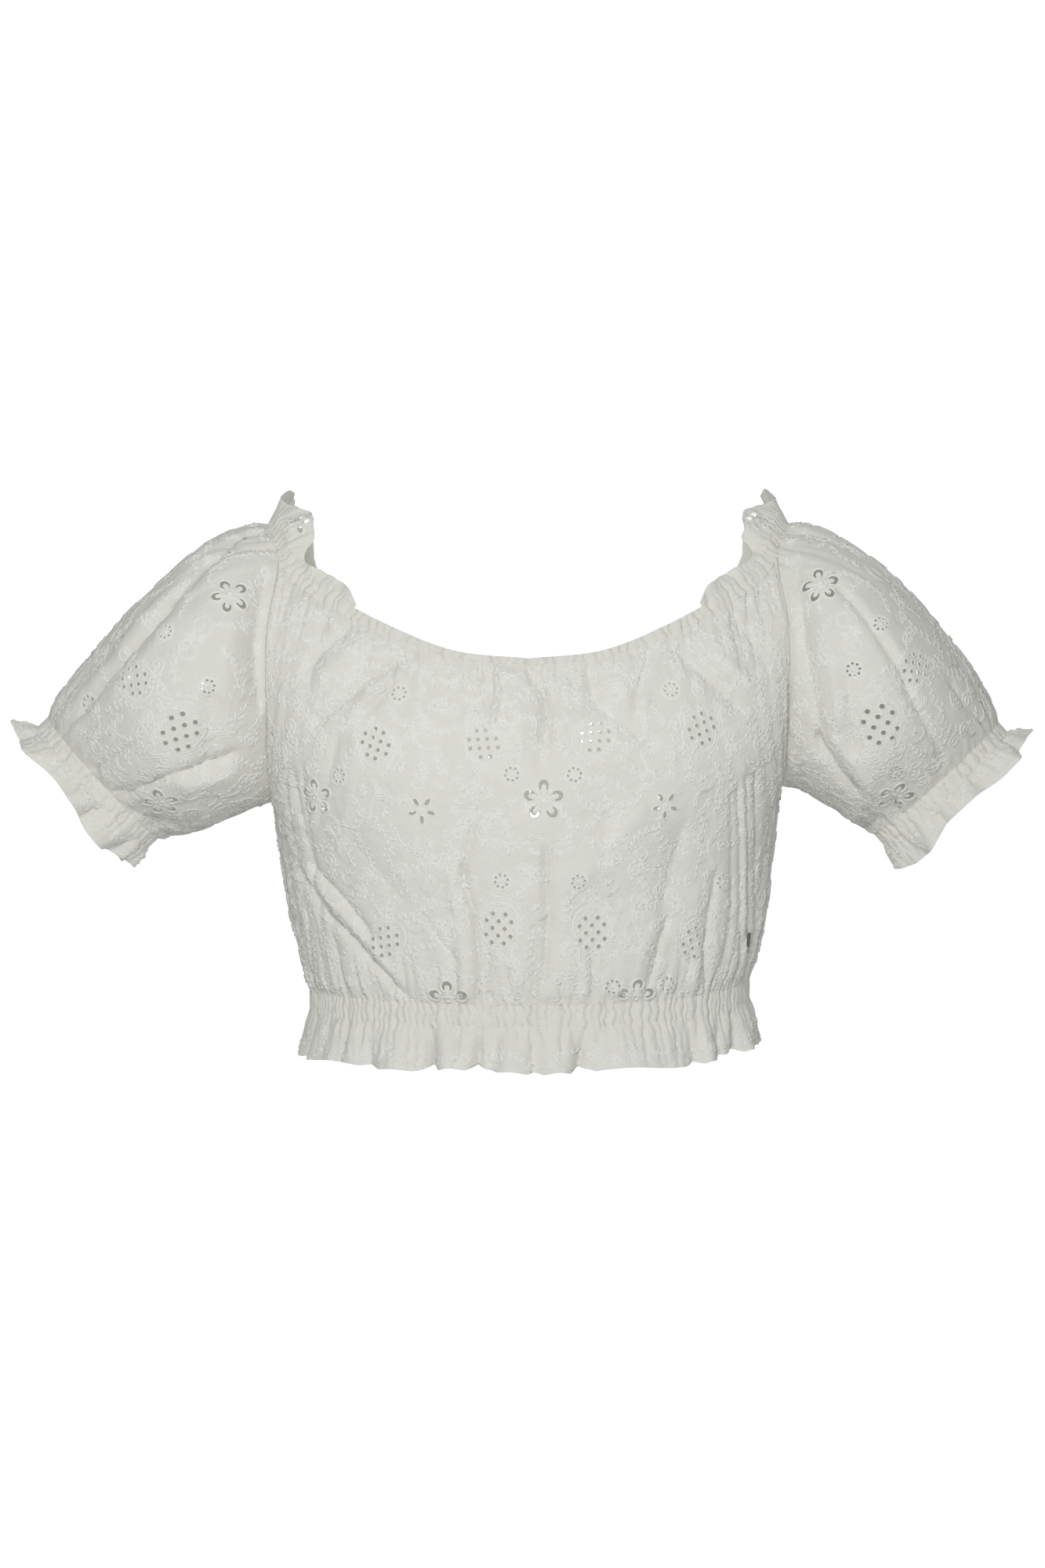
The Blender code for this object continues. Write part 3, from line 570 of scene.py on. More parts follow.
def neck_frame(turn, extra_lean=0.0):
    """Return the neckline's base, its upward and its outward directions."""
    base = neck_base(turn)
    along = unit(neck_base(turn + 4.0) - neck_base(turn - 4.0))
    out = unit(np.cross(along, [0.0, 0.0, 1.0]))
    shoulder = np.sin(np.radians(turn)) ** 2
    lean = (lerp(NECK_LEAN_FRONT, NECK_LEAN_SHOULDER, shoulder) + np.radians(extra_lean))[..., None]
    up = np.array([0.0, 0.0, 1.0]) * np.cos(lean) - out * np.sin(lean)
    up = unit(up - along * np.sum(up * along, axis=-1, keepdims=True))
    return base, up, np.cross(along, up)


def casing_height(turn):
    """Return how tall the neck casing is."""
    return lerp(CASING_HEIGHT_FRONT, CASING_HEIGHT_SHOULDER, np.sin(np.radians(turn)) ** 2)


def neck_casing_point(u, v):
    """Return points of the gathered band round the neck."""
    turn = lerp(-180.0, 180.0, u)
    base, up, normal = neck_frame(turn)
    tall = casing_height(turn)
    offset = elastic(u * NECK_GIRTH, NECK_GIRTH, tall * v, 0, tall, 1.0)
    return base + up * (tall * v)[..., None] + normal * offset[..., None]


def heading_point(side, u, v):
    """Return points of the ruffle that stands above the neck casing."""
    size = lerp(HEADING[0].turn, HEADING[-1].turn, u)
    row = read_rows(HEADING, size)
    turn = side * size
    base, up, normal = neck_frame(turn)
    tall = casing_height(turn)
    foot = base + up * (tall - 0.3)[..., None]
    lean_up = neck_frame(turn, row.lean)[1]
    wave = 2.0 * np.sin(TAU * 7 * u) + 0.8 * np.sin(TAU * 13.3 * u + 1.0 + side)
    around = (turn + 180) / 360 * NECK_GIRTH
    fine = elastic(around, NECK_GIRTH, tall + row.height * v, 0, tall, 1.0) * np.exp(-v * 1.2)
    edge = row.height * (1 + 0.02 * np.sin(TAU * 23 * u + side))
    return foot + lean_up * (edge * v)[..., None] + normal * (wave * v + fine)[..., None]


def waist_base(turn):
    """Return the waist's edge at turns in degrees from the front."""
    turn = np.remainder(np.asarray(turn, float) + 180, 360) - 180
    side = np.where(turn > 0, 1.0, -1.0)
    zero = np.zeros_like(turn)
    front = panel_point(FRONT, np.clip(turn / 90, -1, 1), zero)
    back = panel_point(BACK, side * np.clip((180 - np.abs(turn)) / 90, 0, 1), zero)
    return np.where((np.abs(turn) <= 90)[..., None], front, back)


def waist_out(turn):
    """Return the level directions that point out from the waist."""
    level = waist_base(turn + 3.0) - waist_base(turn - 3.0)
    level[..., 2] = 0
    return unit(np.cross(level, [0.0, 0.0, 1.0]))


def waist_casing_point(u, v):
    """Return points of the gathered band round the waist."""
    turn = lerp(-180.0, 180.0, u)
    down = WAIST_CASING_HEIGHT * (1 - v)
    offset = elastic(u * WAIST_GIRTH, WAIST_GIRTH, -down, -WAIST_CASING_HEIGHT, 0, 2.0)
    return waist_base(turn) - stack(0, 0, down) + waist_out(turn) * offset[..., None]


HemFold = namedtuple("HemFold", "turn width depth lean")
HEM_FOLDS = (
    HemFold(-76, 2.4, -8, 3),
    HemFold(-69, 3.2, 4, 3),
    HemFold(-58, 3.2, 3, 1),
    HemFold(-46, 2.0, -4, -2),
    HemFold(-36, 4.0, 3, 0),
    HemFold(-26, 1.5, -12, -1),
    HemFold(-20, 3.0, 5, 0),
    HemFold(-13, 1.5, -11, 1),
    HemFold(-9, 1.8, -3, 3),
    HemFold(-5, 3.0, 4, 1),
    HemFold(1, 1.5, -4, 0),
    HemFold(7, 3.0, 4, 0),
    HemFold(13.5, 1.5, -10, 2),
    HemFold(17, 1.6, -3, 3),
    HemFold(24, 4.5, 4, 0),
    HemFold(36, 3.0, 2, 0),
    HemFold(46, 2.0, -7, -1),
    HemFold(51, 2.6, 4, 0),
    HemFold(58, 2.0, -6, 1),
    HemFold(66, 2.4, -9, 2),
    HemFold(73, 2.8, 5, 2),
    HemFold(82, 2.4, -5, 2),
)


def hem_ruffle_point(u, v):
    """Return points of the ruffle below the waist casing."""
    turn = lerp(-180.0, 180.0, u)
    down = 1 - v
    wave = 0.0
    for fold in HEM_FOLDS:
        lean = fold.lean * (down - 0.5)
        width = fold.width * (0.7 + 0.5 * down)
        wave = wave + fold.depth * np.exp(-(np.abs((turn - fold.turn + lean) / width) ** 1.5))
        away = np.remainder(turn - (180 - fold.turn) - lean + 180, 360) - 180
        wave = wave + 0.85 * fold.depth * np.exp(-((away / width) ** 2))
    wave = wave * down ** 0.6 + 1.0 * down * np.sin(TAU * 31 * u + 1.4 * np.sin(TAU * 4 * u))
    drop = down * HEM_RUFFLE_LENGTH
    fine = elastic(u * WAIST_GIRTH, WAIST_GIRTH, -WAIST_CASING_HEIGHT - drop, -WAIST_CASING_HEIGHT, 0, 2.0)
    scallop = 1.2 * np.sin(np.radians(turn) * 9 + 1.0) - 0.35 * np.abs(wave)
    reach = WAIST_CASING_HEIGHT - 0.3 + drop + down * scallop
    offset = HEM_RUFFLE_FLARE * down + wave + fine
    return waist_base(turn) - stack(0, 0, reach) + waist_out(turn) * offset[..., None]


def cuff_frame(side, angle):
    """Return the sleeve's end points, the casing's axis and radial directions."""
    row = SLEEVE[side][-1]
    across = Vector((row.top_x - row.low_x, 0, row.top_z - row.low_z)).normalized()
    axis = np.array(across.cross(Vector((0, -side, 0))))
    ones = np.ones_like(angle)
    base = sleeve_point(side, ones, angle)
    level = sleeve_point(side, ones, angle + 0.05) - sleeve_point(side, ones, angle - 0.05)
    return base, axis, unit(np.cross(level, axis)) * side


def cuff_casing_point(side, u, v):
    """Return points of the gathered band round a cuff."""
    base, axis, out = cuff_frame(side, TAU * u)
    around = np.remainder(u, 1) * CUFF_GIRTH
    reach = CUFF_CASING_HEIGHT * v
    offset = elastic(around, CUFF_GIRTH, reach, 0, CUFF_CASING_HEIGHT, 3.0 + side)
    return base + axis * reach[..., None] + out * offset[..., None]


def cuff_ruffle_point(side, u, v):
    """Return points of the flounce beyond a cuff's casing."""
    angle = TAU * u
    base, axis, out = cuff_frame(side, angle)
    row = CUFF[side]
    hang = np.array(Vector((row.axis_x, 0, row.axis_z)).normalized())
    top_share = 0.5 + 0.5 * np.cos(angle)
    length = lerp(row.low_length, row.top_length, top_share)
    flare = lerp(row.low_flare, row.top_flare, top_share)
    foot = base + axis * (CUFF_CASING_HEIGHT - 0.3)
    drift = 0.55 * np.sin(3 * angle + 0.7) + 0.35 * np.sin(5 * angle + 2.1)
    around = np.remainder(u, 1) * CUFF_GIRTH
    length = length * (1.04 - 0.3 * smooth(0.5 - 0.5 * np.cos(4 * angle * side + 2.6)))
    wave = 4.4 * v ** 0.7 * np.sin(9 * angle + drift) + 1.1 * v * np.sin(17 * angle + side)
    fine = elastic(around, CUFF_GIRTH, CUFF_CASING_HEIGHT + 20 * v, 0, CUFF_CASING_HEIGHT, 3.0 + side)
    offset = flare * v + wave + fine
    return foot + hang * (length * v)[..., None] + out * offset[..., None]


def front_shape(u, v):
    """Return points of the front; u runs from left to right, v up."""
    return panel_surface(FRONT, 2 * u - 1, v)


def back_shape(u, v):
    """Return points of the back; u runs from right to left, v up."""
    return panel_surface(BACK, 1 - 2 * u, v)


def sleeve_shape(side):
    """Return a sleeve's shape; u runs from armhole to cuff, v round it."""

    def shape(u, v):
        return sleeve_surface(side, lerp(0.003, 1.0, u), side * math.pi * (1 - 2 * v))

    return shape


# Motifs: holes and stitched ribbons in millimetres about a middle
Ribbon = namedtuple("Ribbon", "points widths height closed rim")


def thread(points, widths, height=0.5, closed=False, rim=False):
    """Return a stitched ribbon along a path."""
    return Ribbon(np.asarray(points, float), widths, height, closed, rim)


def circle(x, y, radius, count):
    """Return points round a circle."""
    angle = np.arange(count) * TAU / count
    return np.stack((x + radius * np.cos(angle), y + radius * np.sin(angle)), axis=1)


def turned(points, angle, x=0.0, y=0.0, scale=1.0):
    """Turn, scale and move points in the plane."""
    c, s = math.cos(angle), math.sin(angle)
    points = np.asarray(points, float) * scale
    return np.stack((points[:, 0] * c - points[:, 1] * s + x, points[:, 0] * s + points[:, 1] * c + y), axis=1)


def eyelet(x, y, radius, count=9):
    """Return a round stitched hole."""
    return [circle(x, y, radius, count)], [thread(circle(x, y, radius + 0.45, count), 0.9, 0.35, True, True)]


def petal_hole(inner, outer, half_width, tongue):
    """Return a petal's opening, a crescent where a tongue of cloth fills it."""
    middle = (inner + outer) / 2
    reach = (outer - inner) / 2
    around = np.radians(np.linspace(-140, 140, 15))
    outline = np.stack((middle + reach * np.cos(around), half_width * np.sin(around)), axis=1)
    if not tongue:
        return outline
    back = np.radians(np.linspace(118, -118, 11))
    inside = np.stack((middle - 0.9 + 0.52 * reach * np.cos(back), 0.5 * half_width * np.sin(back)), axis=1)
    return np.concatenate((outline, inside))


def flower(scale=1.0, tongue=True, petals=(0, 1, 2, 3, 4)):
    """Return a cutwork flower of five petals."""
    holes = []
    ribbons = []
    for petal in petals:
        angle = math.radians(90) + petal * TAU / 5
        holes.append(turned(petal_hole(5.4, 13.4, 3.4, tongue), angle, scale=scale))
        around = np.radians(np.linspace(-150, 150, 18))
        rim = np.stack((9.4 + 4.7 * np.cos(around), 4.1 * np.sin(around)), axis=1)
        ribbons.append(thread(turned(rim, angle, scale=scale), 1.4 * scale, 0.6, rim=True))
        heart = np.stack((np.linspace(2.6, 9.6, 7), np.zeros(7)), axis=1)
        if tongue:
            ribbons.append(thread(turned(heart, angle, scale=scale), 1.2 * scale, 0.4, rim=True))
    ribbons.append(thread(circle(0, 0, 2.0 * scale, 12), 1.6 * scale, 0.6, True, True))
    return holes, ribbons


def small_flower():
    """Return a flower of five narrow eyelet petals round a knot."""
    holes = []
    ribbons = [thread(circle(0, 0, 1.2, 10), 1.3, 0.5, True, True)]
    around = np.arange(12) * TAU / 12
    for petal in range(5):
        angle = math.radians(270) + petal * TAU / 5
        holes.append(turned(np.stack((6.4 + 2.6 * np.cos(around), 1.3 * np.sin(around)), axis=1), angle))
        rim = np.stack((6.4 + 3.1 * np.cos(around), 1.8 * np.sin(around)), axis=1)
        ribbons.append(thread(turned(rim, angle), 0.9, 0.4, True, True))
    return holes, ribbons


def eyelet_ring():
    """Return a ring of eight small eyelets round a knot."""
    holes = []
    ribbons = [thread(circle(0, 0, 0.9, 8), 1.1, 0.5, True, True)]
    ribbons.append(thread(circle(0, 0, 6.4, 28), 0.8, 0.4, True, True))
    for k in range(8):
        angle = k * TAU / 8 + 0.2
        more = eyelet(4.2 * math.cos(angle), 4.2 * math.sin(angle), 0.95, 8)
        holes += more[0]
        ribbons += more[1]
    return holes, ribbons


def leaf(x, y, angle, length, width):
    """Return a padded leaf in satin stitch."""
    share = np.linspace(0, 1, 6)
    points = np.stack((share * length, 0.12 * length * np.sin(math.pi * share)), axis=1)
    return thread(turned(points, angle, x, y), 0.25 + width * np.sin(math.pi * share) ** 0.8, 0.4)


def drop_outline(width, height, curl, count):
    """Return the outline of a paisley drop with its tip curled to one side."""
    angle = np.linspace(0.12, TAU - 0.12, count)
    x = width * np.sin(angle) * np.sin(angle / 2) ** 1.2
    y = height * np.cos(angle)
    return np.stack((x + curl * np.maximum(y + 0.1 * height, 0) ** 2 / height, y), axis=1)


EYELET_ACROSS = 4.8
EYELET_UP = 5.6
LATTICE_ROWS = (2, 3, 2, 3, 2)


def paisley(size=1.0, curl=1.0):
    """Return an ordinary paisley: eyelets in a net, a double edge and leaves."""
    holes = []
    ribbons = []
    for row, count in enumerate(LATTICE_ROWS):
        for k in range(count):
            x = (2 * k - count + 1) * EYELET_ACROSS
            more = eyelet(x * size, ((2 - row) * EYELET_UP - 3.0) * size, 1.7 * size)
            holes += more[0]
            ribbons += more[1]
    slant = math.atan2(EYELET_UP, EYELET_ACROSS)
    cell = EYELET_ACROSS * EYELET_UP / math.hypot(EYELET_ACROSS, EYELET_UP)
    for k in range(-4, 5):
        for step in range(-5, 5):
            start = np.array([(step + 0.08) * cell, (k + 0.5) * cell])
            middle = start + (cell / 2, 0)
            if np.hypot(middle[0], middle[1]) > 16.5:
                continue
            piece = start + np.array([(0, 0), (0.42 * cell, 0), (0.84 * cell, 0)])
            for mirror in (1, -1):
                ribbons.append(thread((turned(piece, slant) * (mirror, 1) + (0, -3.0)) * size, 0.9, 0.32))
    ribbons.append(thread(drop_outline(19.5, 23.0, 0.42 * curl, 44) * size, 1.5, 0.45))
    outer = drop_outline(23.0, 27.5, 0.44 * curl, 56) * size
    ribbons.append(thread(outer, 0.9, 0.35))
    for k in range(5, 52, 4):
        ahead = outer[k + 1] - outer[k]
        slope = math.atan2(ahead[1], ahead[0])
        ribbons.append(leaf(outer[k][0], outer[k][1], slope + 0.75, 4.8 * size, 1.7 * size))
    return holes, ribbons


def spiral(x, y, start, turns, radius, mirror=1):
    """Return the points of a curl that winds in."""
    angle = np.linspace(0, turns * TAU, int(turns * 12))
    reach = radius * (1 - 0.82 * angle / angle[-1])
    points = np.stack((mirror * reach * np.cos(angle), reach * np.sin(angle)), axis=1)
    return turned(points, start, x, y)


def spray(size=1.0, leaves=5):
    """Return a curved stem with pairs of leaves, a bud and a curl."""
    share = np.linspace(0, 1, 16)
    stem = np.stack((26 * share - 13, 4.5 * np.sin(math.pi * share * 1.2) - 2), axis=1) * size
    ribbons = [thread(stem, 0.9, 0.35)]
    for k in range(leaves):
        at = stem[int((k + 0.6) / leaves * 15)]
        ribbons.append(leaf(at[0], at[1], 1.0 - 0.1 * k, 5.2 * size, 1.9 * size))
        ribbons.append(leaf(at[0], at[1], -0.9 + 0.1 * k, 4.8 * size, 1.8 * size))
    ribbons.append(leaf(stem[-1][0], stem[-1][1], 0.1, 5.0 * size, 2.4 * size))
    ribbons.append(thread(spiral(stem[0][0], stem[0][1] + 3.6 * size, -1.6, 1.3, 3.6 * size), 1.2, 0.4))
    return [], ribbons


def scroll(size=1.0):
    """Return two curls that spring from one stem, with leaves."""
    ribbons = [
        thread(spiral(6.2 * size, 0, math.pi, 1.5, 6.2 * size), 1.4, 0.42),
        thread(spiral(-6.2 * size, 0, 0, 1.5, 6.2 * size), 1.4, 0.42),
    ]
    for k, angle in enumerate((1.25, 1.9, -1.2, -1.9, 0.6, 2.6)):
        ribbons.append(leaf(0, 0, angle, (6.5 - 0.4 * k) * size, 2.0 * size))
    return [], ribbons


def sprig(size=1.0):
    """Return a small bud with three leaves and a double curved line."""
    ribbons = [leaf(0, 0, angle, 5.5 * size, 2.2 * size) for angle in (0.5, 1.57, 2.64)]
    for reach in (8.0, 9.6):
        around = np.linspace(math.pi * 1.1, math.pi * 1.9, 14)
        ribbons.append(thread(np.stack((reach * np.cos(around), reach * np.sin(around)), axis=1) * size, 0.8, 0.45))
    return [], ribbons


MAKERS = {
    "flower": flower,
    "open": lambda size: flower(size, tongue=False),
    "hem": lambda size: flower(size, petals=(0, 1, 4)),
    "small": lambda size: small_flower(),
    "ring": lambda size: eyelet_ring(),
    "paisley": lambda size: paisley(abs(size), math.copysign(1, size)),
    "spray": spray,
    "scroll": scroll,
    "sprig": sprig,
}
FILLERS = ("spray", "scroll", "sprig", "spray")


# Where the motifs sit: seen from the front in the photograph's own pixels
Seen = namedtuple("Seen", "kind x y turn size")
FRONT_MOTIFS = (
    Seen("flower", 693, 1020, 0, 1.0),
    Seen("flower", 404, 1016, 0, 0.9),
    Seen("hem", 573, 1275, 0, 1.0),
    Seen("hem", 812, 1272, 0, 1.0),
    Seen("small", 536, 1034, 0, 1),
    Seen("small", 850, 1027, 0, 1),
    Seen("ring", 640, 1123, 0, 1),
    Seen("ring", 739, 1125, 0, 1),
    Seen("ring", 651, 987, 0, 1),
    Seen("ring", 733, 989, 0, 1),
    Seen("ring", 431, 990, 0, 1),
    Seen("ring", 855, 879, 0, 1),
    Seen("ring", 510, 886, 0, 1),
    Seen("ring", 924, 1125, 0, 1),
    Seen("ring", 782, 1259, 0, 1),
    Seen("ring", 852, 1256, 0, 1),
    Seen("paisley", 478, 944, 24, -0.8),
    Seen("paisley", 612, 946, 52, 0.8),
    Seen("paisley", 764, 936, -46, -0.8),
    Seen("paisley", 896, 926, -24, 0.8),
    Seen("paisley", 489, 1204, 140, 0.8),
    Seen("paisley", 634, 1190, 176, -0.85),
    Seen("paisley", 757, 1194, 184, 0.85),
    Seen("paisley", 884, 1205, 160, -0.8),
)
SLEEVE_MOTIFS = {
    LEFT: (
        Seen("flower", 293, 759, 20, 0.95),
        Seen("flower", 206, 1024, 10, 0.9),
        Seen("ring", 211, 807, 0, 1),
        Seen("ring", 266, 876, 0, 1),
        Seen("ring", 116, 900, 0, 1),
        Seen("ring", 244, 1038, 0, 1),
        Seen("paisley", 226, 938, 150, 1.0),
        Seen("paisley", 168, 865, 60, -0.8),
        Seen("scroll", 248, 812, 70, 1.5),
    ),
    RIGHT: (
        Seen("flower", 1046, 746, 16, 0.95),
        Seen("flower", 1142, 1014, -10, 0.9),
        Seen("ring", 1089, 855, 0, 1),
        Seen("ring", 1142, 986, 0, 1),
        Seen("ring", 1124, 795, 0, 1),
        Seen("ring", 1219, 892, 0, 1),
        Seen("paisley", 1125, 930, 200, -1.0),
        Seen("paisley", 1170, 850, -60, 0.8),
        Seen("scroll", 1086, 806, -70, 1.4),
    ),
}

# Hidden sides repeat the same motifs: shares across and up the back from its
# middle, and shares along a sleeve with degrees from its top towards the back
Placed = namedtuple("Placed", "kind across rise turn size")
BACK_MOTIFS = (
    Placed("flower", 0.0, 0.60, 0, 1.0),
    Placed("flower", -0.52, 0.34, 0, 1.0),
    Placed("flower", 0.52, 0.34, 0, 1.0),
    Placed("ring", -0.10, 0.74, 0, 1),
    Placed("ring", 0.10, 0.74, 0, 1),
    Placed("ring", -0.13, 0.42, 0, 1),
    Placed("ring", 0.13, 0.42, 0, 1),
    Placed("ring", -0.62, 0.50, 0, 1),
    Placed("ring", 0.62, 0.50, 0, 1),
    Placed("small", -0.36, 0.56, 0, 1),
    Placed("small", 0.36, 0.56, 0, 1),
    Placed("paisley", -0.20, 0.84, 40, 0.8),
    Placed("paisley", 0.20, 0.84, -40, -0.8),
    Placed("paisley", -0.48, 0.76, 20, -0.8),
    Placed("paisley", 0.48, 0.76, -20, 0.8),
    Placed("paisley", -0.16, 0.20, 176, -0.85),
    Placed("paisley", 0.16, 0.20, 184, 0.85),
    Placed("paisley", -0.76, 0.30, 150, 0.8),
    Placed("paisley", 0.76, 0.30, 210, -0.8),
)
SLEEVE_BACK_MOTIFS = (
    Placed("flower", 0.45, 80, 0, 0.95),
    Placed("ring", 0.24, 62, 0, 1),
    Placed("ring", 0.70, 96, 0, 1),
    Placed("ring", 0.22, 100, 0, 1),
    Placed("paisley", 0.42, 122, 180, 0.9),
    Placed("paisley", 0.62, 44, 60, -0.8),
    Placed("paisley", 0.24, 28, 20, 0.8),
    Placed("scroll", 0.78, 70, 0, 0.9),
)


def seen_pixel(points):
    """Return where points lie in the photograph's frame."""
    scale = (CAMERA_DISTANCE + REFERENCE_DEPTH) / PHOTO_MM
    camera_z = (PHOTO_NECK_Y - PHOTO_HEIGHT / 2) * PHOTO_MM
    away = CAMERA_DISTANCE + points[..., 1]
    x = PHOTO_CENTRE_X + points[..., 0] / away * scale
    y = PHOTO_HEIGHT / 2 - (points[..., 2] - camera_z) / away * scale
    return x, y


def to_metres(points):
    """Return points in millimetres as metres, in plain rows."""
    return (np.asarray(points) * MM).tolist()


HOLE_MARGIN = 1.2


HEADING_FLOWER_TURN = 73.5
SMALL_FLOWER = 0.62


class Sheet:
    """A sheet of cloth: its shape over a flat cut, in millimetres."""

    def __init__(self, name, shape, width, height, step, nodes, held="gathered"):
        self.name = name
        self.shape = shape
        self.width = width
        self.height = height
        self.step = step
        self.nodes = nodes
        self.held = held
        self.holes = []
        self.ribbons = []
        self.centres = []
        self.main_count = 0

    def lay(self, flat):
        """Return the places in space of points on the flat cut."""
        u = np.clip(flat[..., 0] / self.width, 0, 1)
        v = np.clip(flat[..., 1] / self.height, 0, 1)
        return self.shape(u, v)

    def frame_at(self, flat, reach):
        """Return the places, the two slopes and the outward normals at flat points."""
        flat = np.asarray(flat, float)
        step_x = np.array([reach, 0.0])
        step_y = np.array([0.0, reach])
        low = np.zeros(2)
        high = np.array([self.width, self.height])
        right, left = (np.clip(flat + s * step_x, low, high) for s in (1, -1))
        upper, lower = (np.clip(flat + s * step_y, low, high) for s in (1, -1))
        along_x = (self.lay(right) - self.lay(left)) / (right - left)[..., :1]
        along_y = (self.lay(upper) - self.lay(lower)) / (upper - lower)[..., 1:]
        return self.lay(flat), along_x, along_y, unit(np.cross(along_x, along_y))

    def find_pixel(self, x, y, v_range=(0.0, 1.0)):
        """Return the flat point that shows at a pixel of the photograph."""
        u, v = np.meshgrid(np.linspace(0, 1, 260), np.linspace(*v_range, 200))
        flat = np.stack((u * self.width, v * self.height), axis=-1)
        points = self.lay(flat)
        seen_x, seen_y = seen_pixel(points)
        normal = np.cross(np.gradient(points, axis=1), np.gradient(points, axis=0))
        distance = (seen_x - x) ** 2 + (seen_y - y) ** 2 + 1e6 * (normal[..., 1] > 0)
        return flat.reshape(-1, 2)[int(np.argmin(distance))]

    def place(self, kind, flat, turn, size):
        """Put a motif on the cloth, true to size, upright as it hangs."""
        holes, ribbons = MAKERS[kind](size)
        flat = np.asarray(flat, float)
        self.centres.append(flat)
        _, along_x, along_y, normal = self.frame_at(flat, 8.0)
        level = unit(np.cross([0.01, 0.0, 1.0], normal))
        upward = np.cross(normal, level)
        slopes = np.stack((along_x, along_y), axis=1)
        to_flat = np.linalg.pinv(slopes) @ np.stack((level, upward), axis=1)
        size_limit = np.array([self.width, self.height]) - HOLE_MARGIN
        for hole in holes:
            moved = turned(hole, math.radians(turn)) @ to_flat.T + flat
            if (moved > HOLE_MARGIN).all() and (moved < size_limit).all():
                self.holes.append(moved)
        for ribbon in ribbons:
            moved = turned(ribbon.points, math.radians(turn)) @ to_flat.T + flat
            self.ribbons.append(ribbon._replace(points=moved))

    def fill(self, spacing, seed, clear):
        """Scatter leaf and scroll motifs over the cloth that is still bare."""
        for row in range(int(self.height / spacing)):
            for column in range(int(self.width / spacing)):
                cell = row * 37.0 + column
                jitter = np.array([scatter(cell, seed), scatter(cell, seed + 1)]) - 0.5
                flat = (np.array([column + 0.5, row + 0.5]) + 0.5 * jitter) * spacing
                gaps = [np.linalg.norm(flat - centre) for centre in self.centres[:self.main_count]]
                if gaps and min(gaps) < clear:
                    continue
                kind = FILLERS[int(scatter(cell, seed + 2) * len(FILLERS))]
                size = 0.75 + 0.2 * scatter(cell, seed + 4)
                self.place(kind, flat, 360 * scatter(cell, seed + 3), size)

    def line(self, share, width=0.9, height=0.35):
        """Add a line of stitching along the cloth at a share of its height."""
        x = np.linspace(1.0, self.width - 1.0, int(self.width / 1.5))
        self.ribbons.append(thread(np.stack((x, 0 * x + share * self.height), axis=1), width, height))

    def clear_ribbons(self):
        """Cut stitching short where it would cross an eyelet."""
        if not self.holes:
            return
        corners = np.concatenate(self.holes)
        tree = KDTree(len(corners))
        for index, corner in enumerate(corners):
            tree.insert((corner[0], corner[1], 0), index)
        tree.balance()
        kept = []
        for ribbon in self.ribbons:
            if ribbon.rim:
                kept.append(ribbon)
                continue
            widths = np.broadcast_to(ribbon.widths, len(ribbon.points))
            near = np.array([tree.find((p[0], p[1], 0))[2] for p in ribbon.points])
            clear = near > widths / 2 + 0.35
            if clear.all():
                kept.append(ribbon)
                continue
            bounds = np.flatnonzero(np.diff(np.concatenate(([0], clear, [0]))))
            for start, end in zip(bounds[::2], bounds[1::2]):
                if end - start > 2:
                    kept.append(thread(ribbon.points[start:end], widths[start:end], ribbon.height))
        self.ribbons = kept


def tidy_hole(points):
    """Return a hole's outline running anticlockwise."""
    x, y = points[:, 0], points[:, 1]
    area = np.sum(x * np.roll(y, -1) - y * np.roll(x, -1))
    return points if area > 0 else points[::-1]


def grid_points(sheet):
    """Return the regular points of a sheet's flat cut."""
    columns = max(2, round(sheet.width / sheet.step[0]))
    rows = max(2, round(sheet.height / sheet.step[1]))
    x, y = np.meshgrid(np.linspace(0, sheet.width, columns + 1), np.linspace(0, sheet.height, rows + 1))
    return np.stack((x.ravel(), y.ravel()), axis=1)


def cut_out(sheet):
    """Return the flat points and triangles of a sheet with its holes cut."""
    points = grid_points(sheet)
    outlines = [tidy_hole(hole) for hole in sheet.holes]
    if outlines:
        corners = np.concatenate(outlines)
        keep = np.ones(len(points), bool)
        for outline in outlines:
            low = outline.min(axis=0) - sheet.step[1]
            high = outline.max(axis=0) + sheet.step[1]
            near = np.nonzero(((points > low) & (points < high)).all(axis=1))[0]
            gaps = np.linalg.norm(points[near, None] - outline[None], axis=2).min(axis=1)
            keep[near[gaps < 0.5 * sheet.step[0]]] = False
        edge = (points == 0) | (points == [sheet.width, sheet.height])
        points = points[keep | edge.any(axis=1)]
        start = len(points) + np.cumsum([0] + [len(outline) for outline in outlines[:-1]])
        faces = [list(range(s, s + len(o))) for s, o in zip(start, outlines)]
        points = np.concatenate((points, corners))
    else:
        faces = []
    result = delaunay_2d_cdt([Vector(p) for p in points], [], faces, 0, 1e-4)
    flat = np.array([tuple(p) for p in result[0]])
    triangles = np.array([face for face, inside in zip(result[2], result[5]) if not inside])
    used, triangles = np.unique(triangles, return_inverse=True)
    return flat[used], triangles.reshape(-1, 3)


def new_object(name, points, faces, material, flat=None):
    """Make a smooth mesh object from points in millimetres."""
    mesh = bpy.data.meshes.new(name)
    mesh.from_pydata(to_metres(points), [], np.asarray(faces).tolist())
    if flat is not None:
        layer = mesh.uv_layers.new(name="Cloth")
        corners = np.empty(len(mesh.loops), int)
        mesh.loops.foreach_get("vertex_index", corners)
        layer.data.foreach_set("uv", (np.asarray(flat)[corners] * 0.01).ravel())
    mesh.polygons.foreach_set("use_smooth", [True] * len(mesh.polygons))
    mesh.materials.append(material)
    piece = bpy.data.objects.new(name, mesh)
    bpy.context.scene.collection.objects.link(piece)
    return piece


def weld(piece, distance):
    """Join the mesh's points where its edges meet."""
    work = bmesh.new()
    work.from_mesh(piece.data)
    bmesh.ops.remove_doubles(work, verts=work.verts, dist=distance)
    work.to_mesh(piece.data)
    work.free()


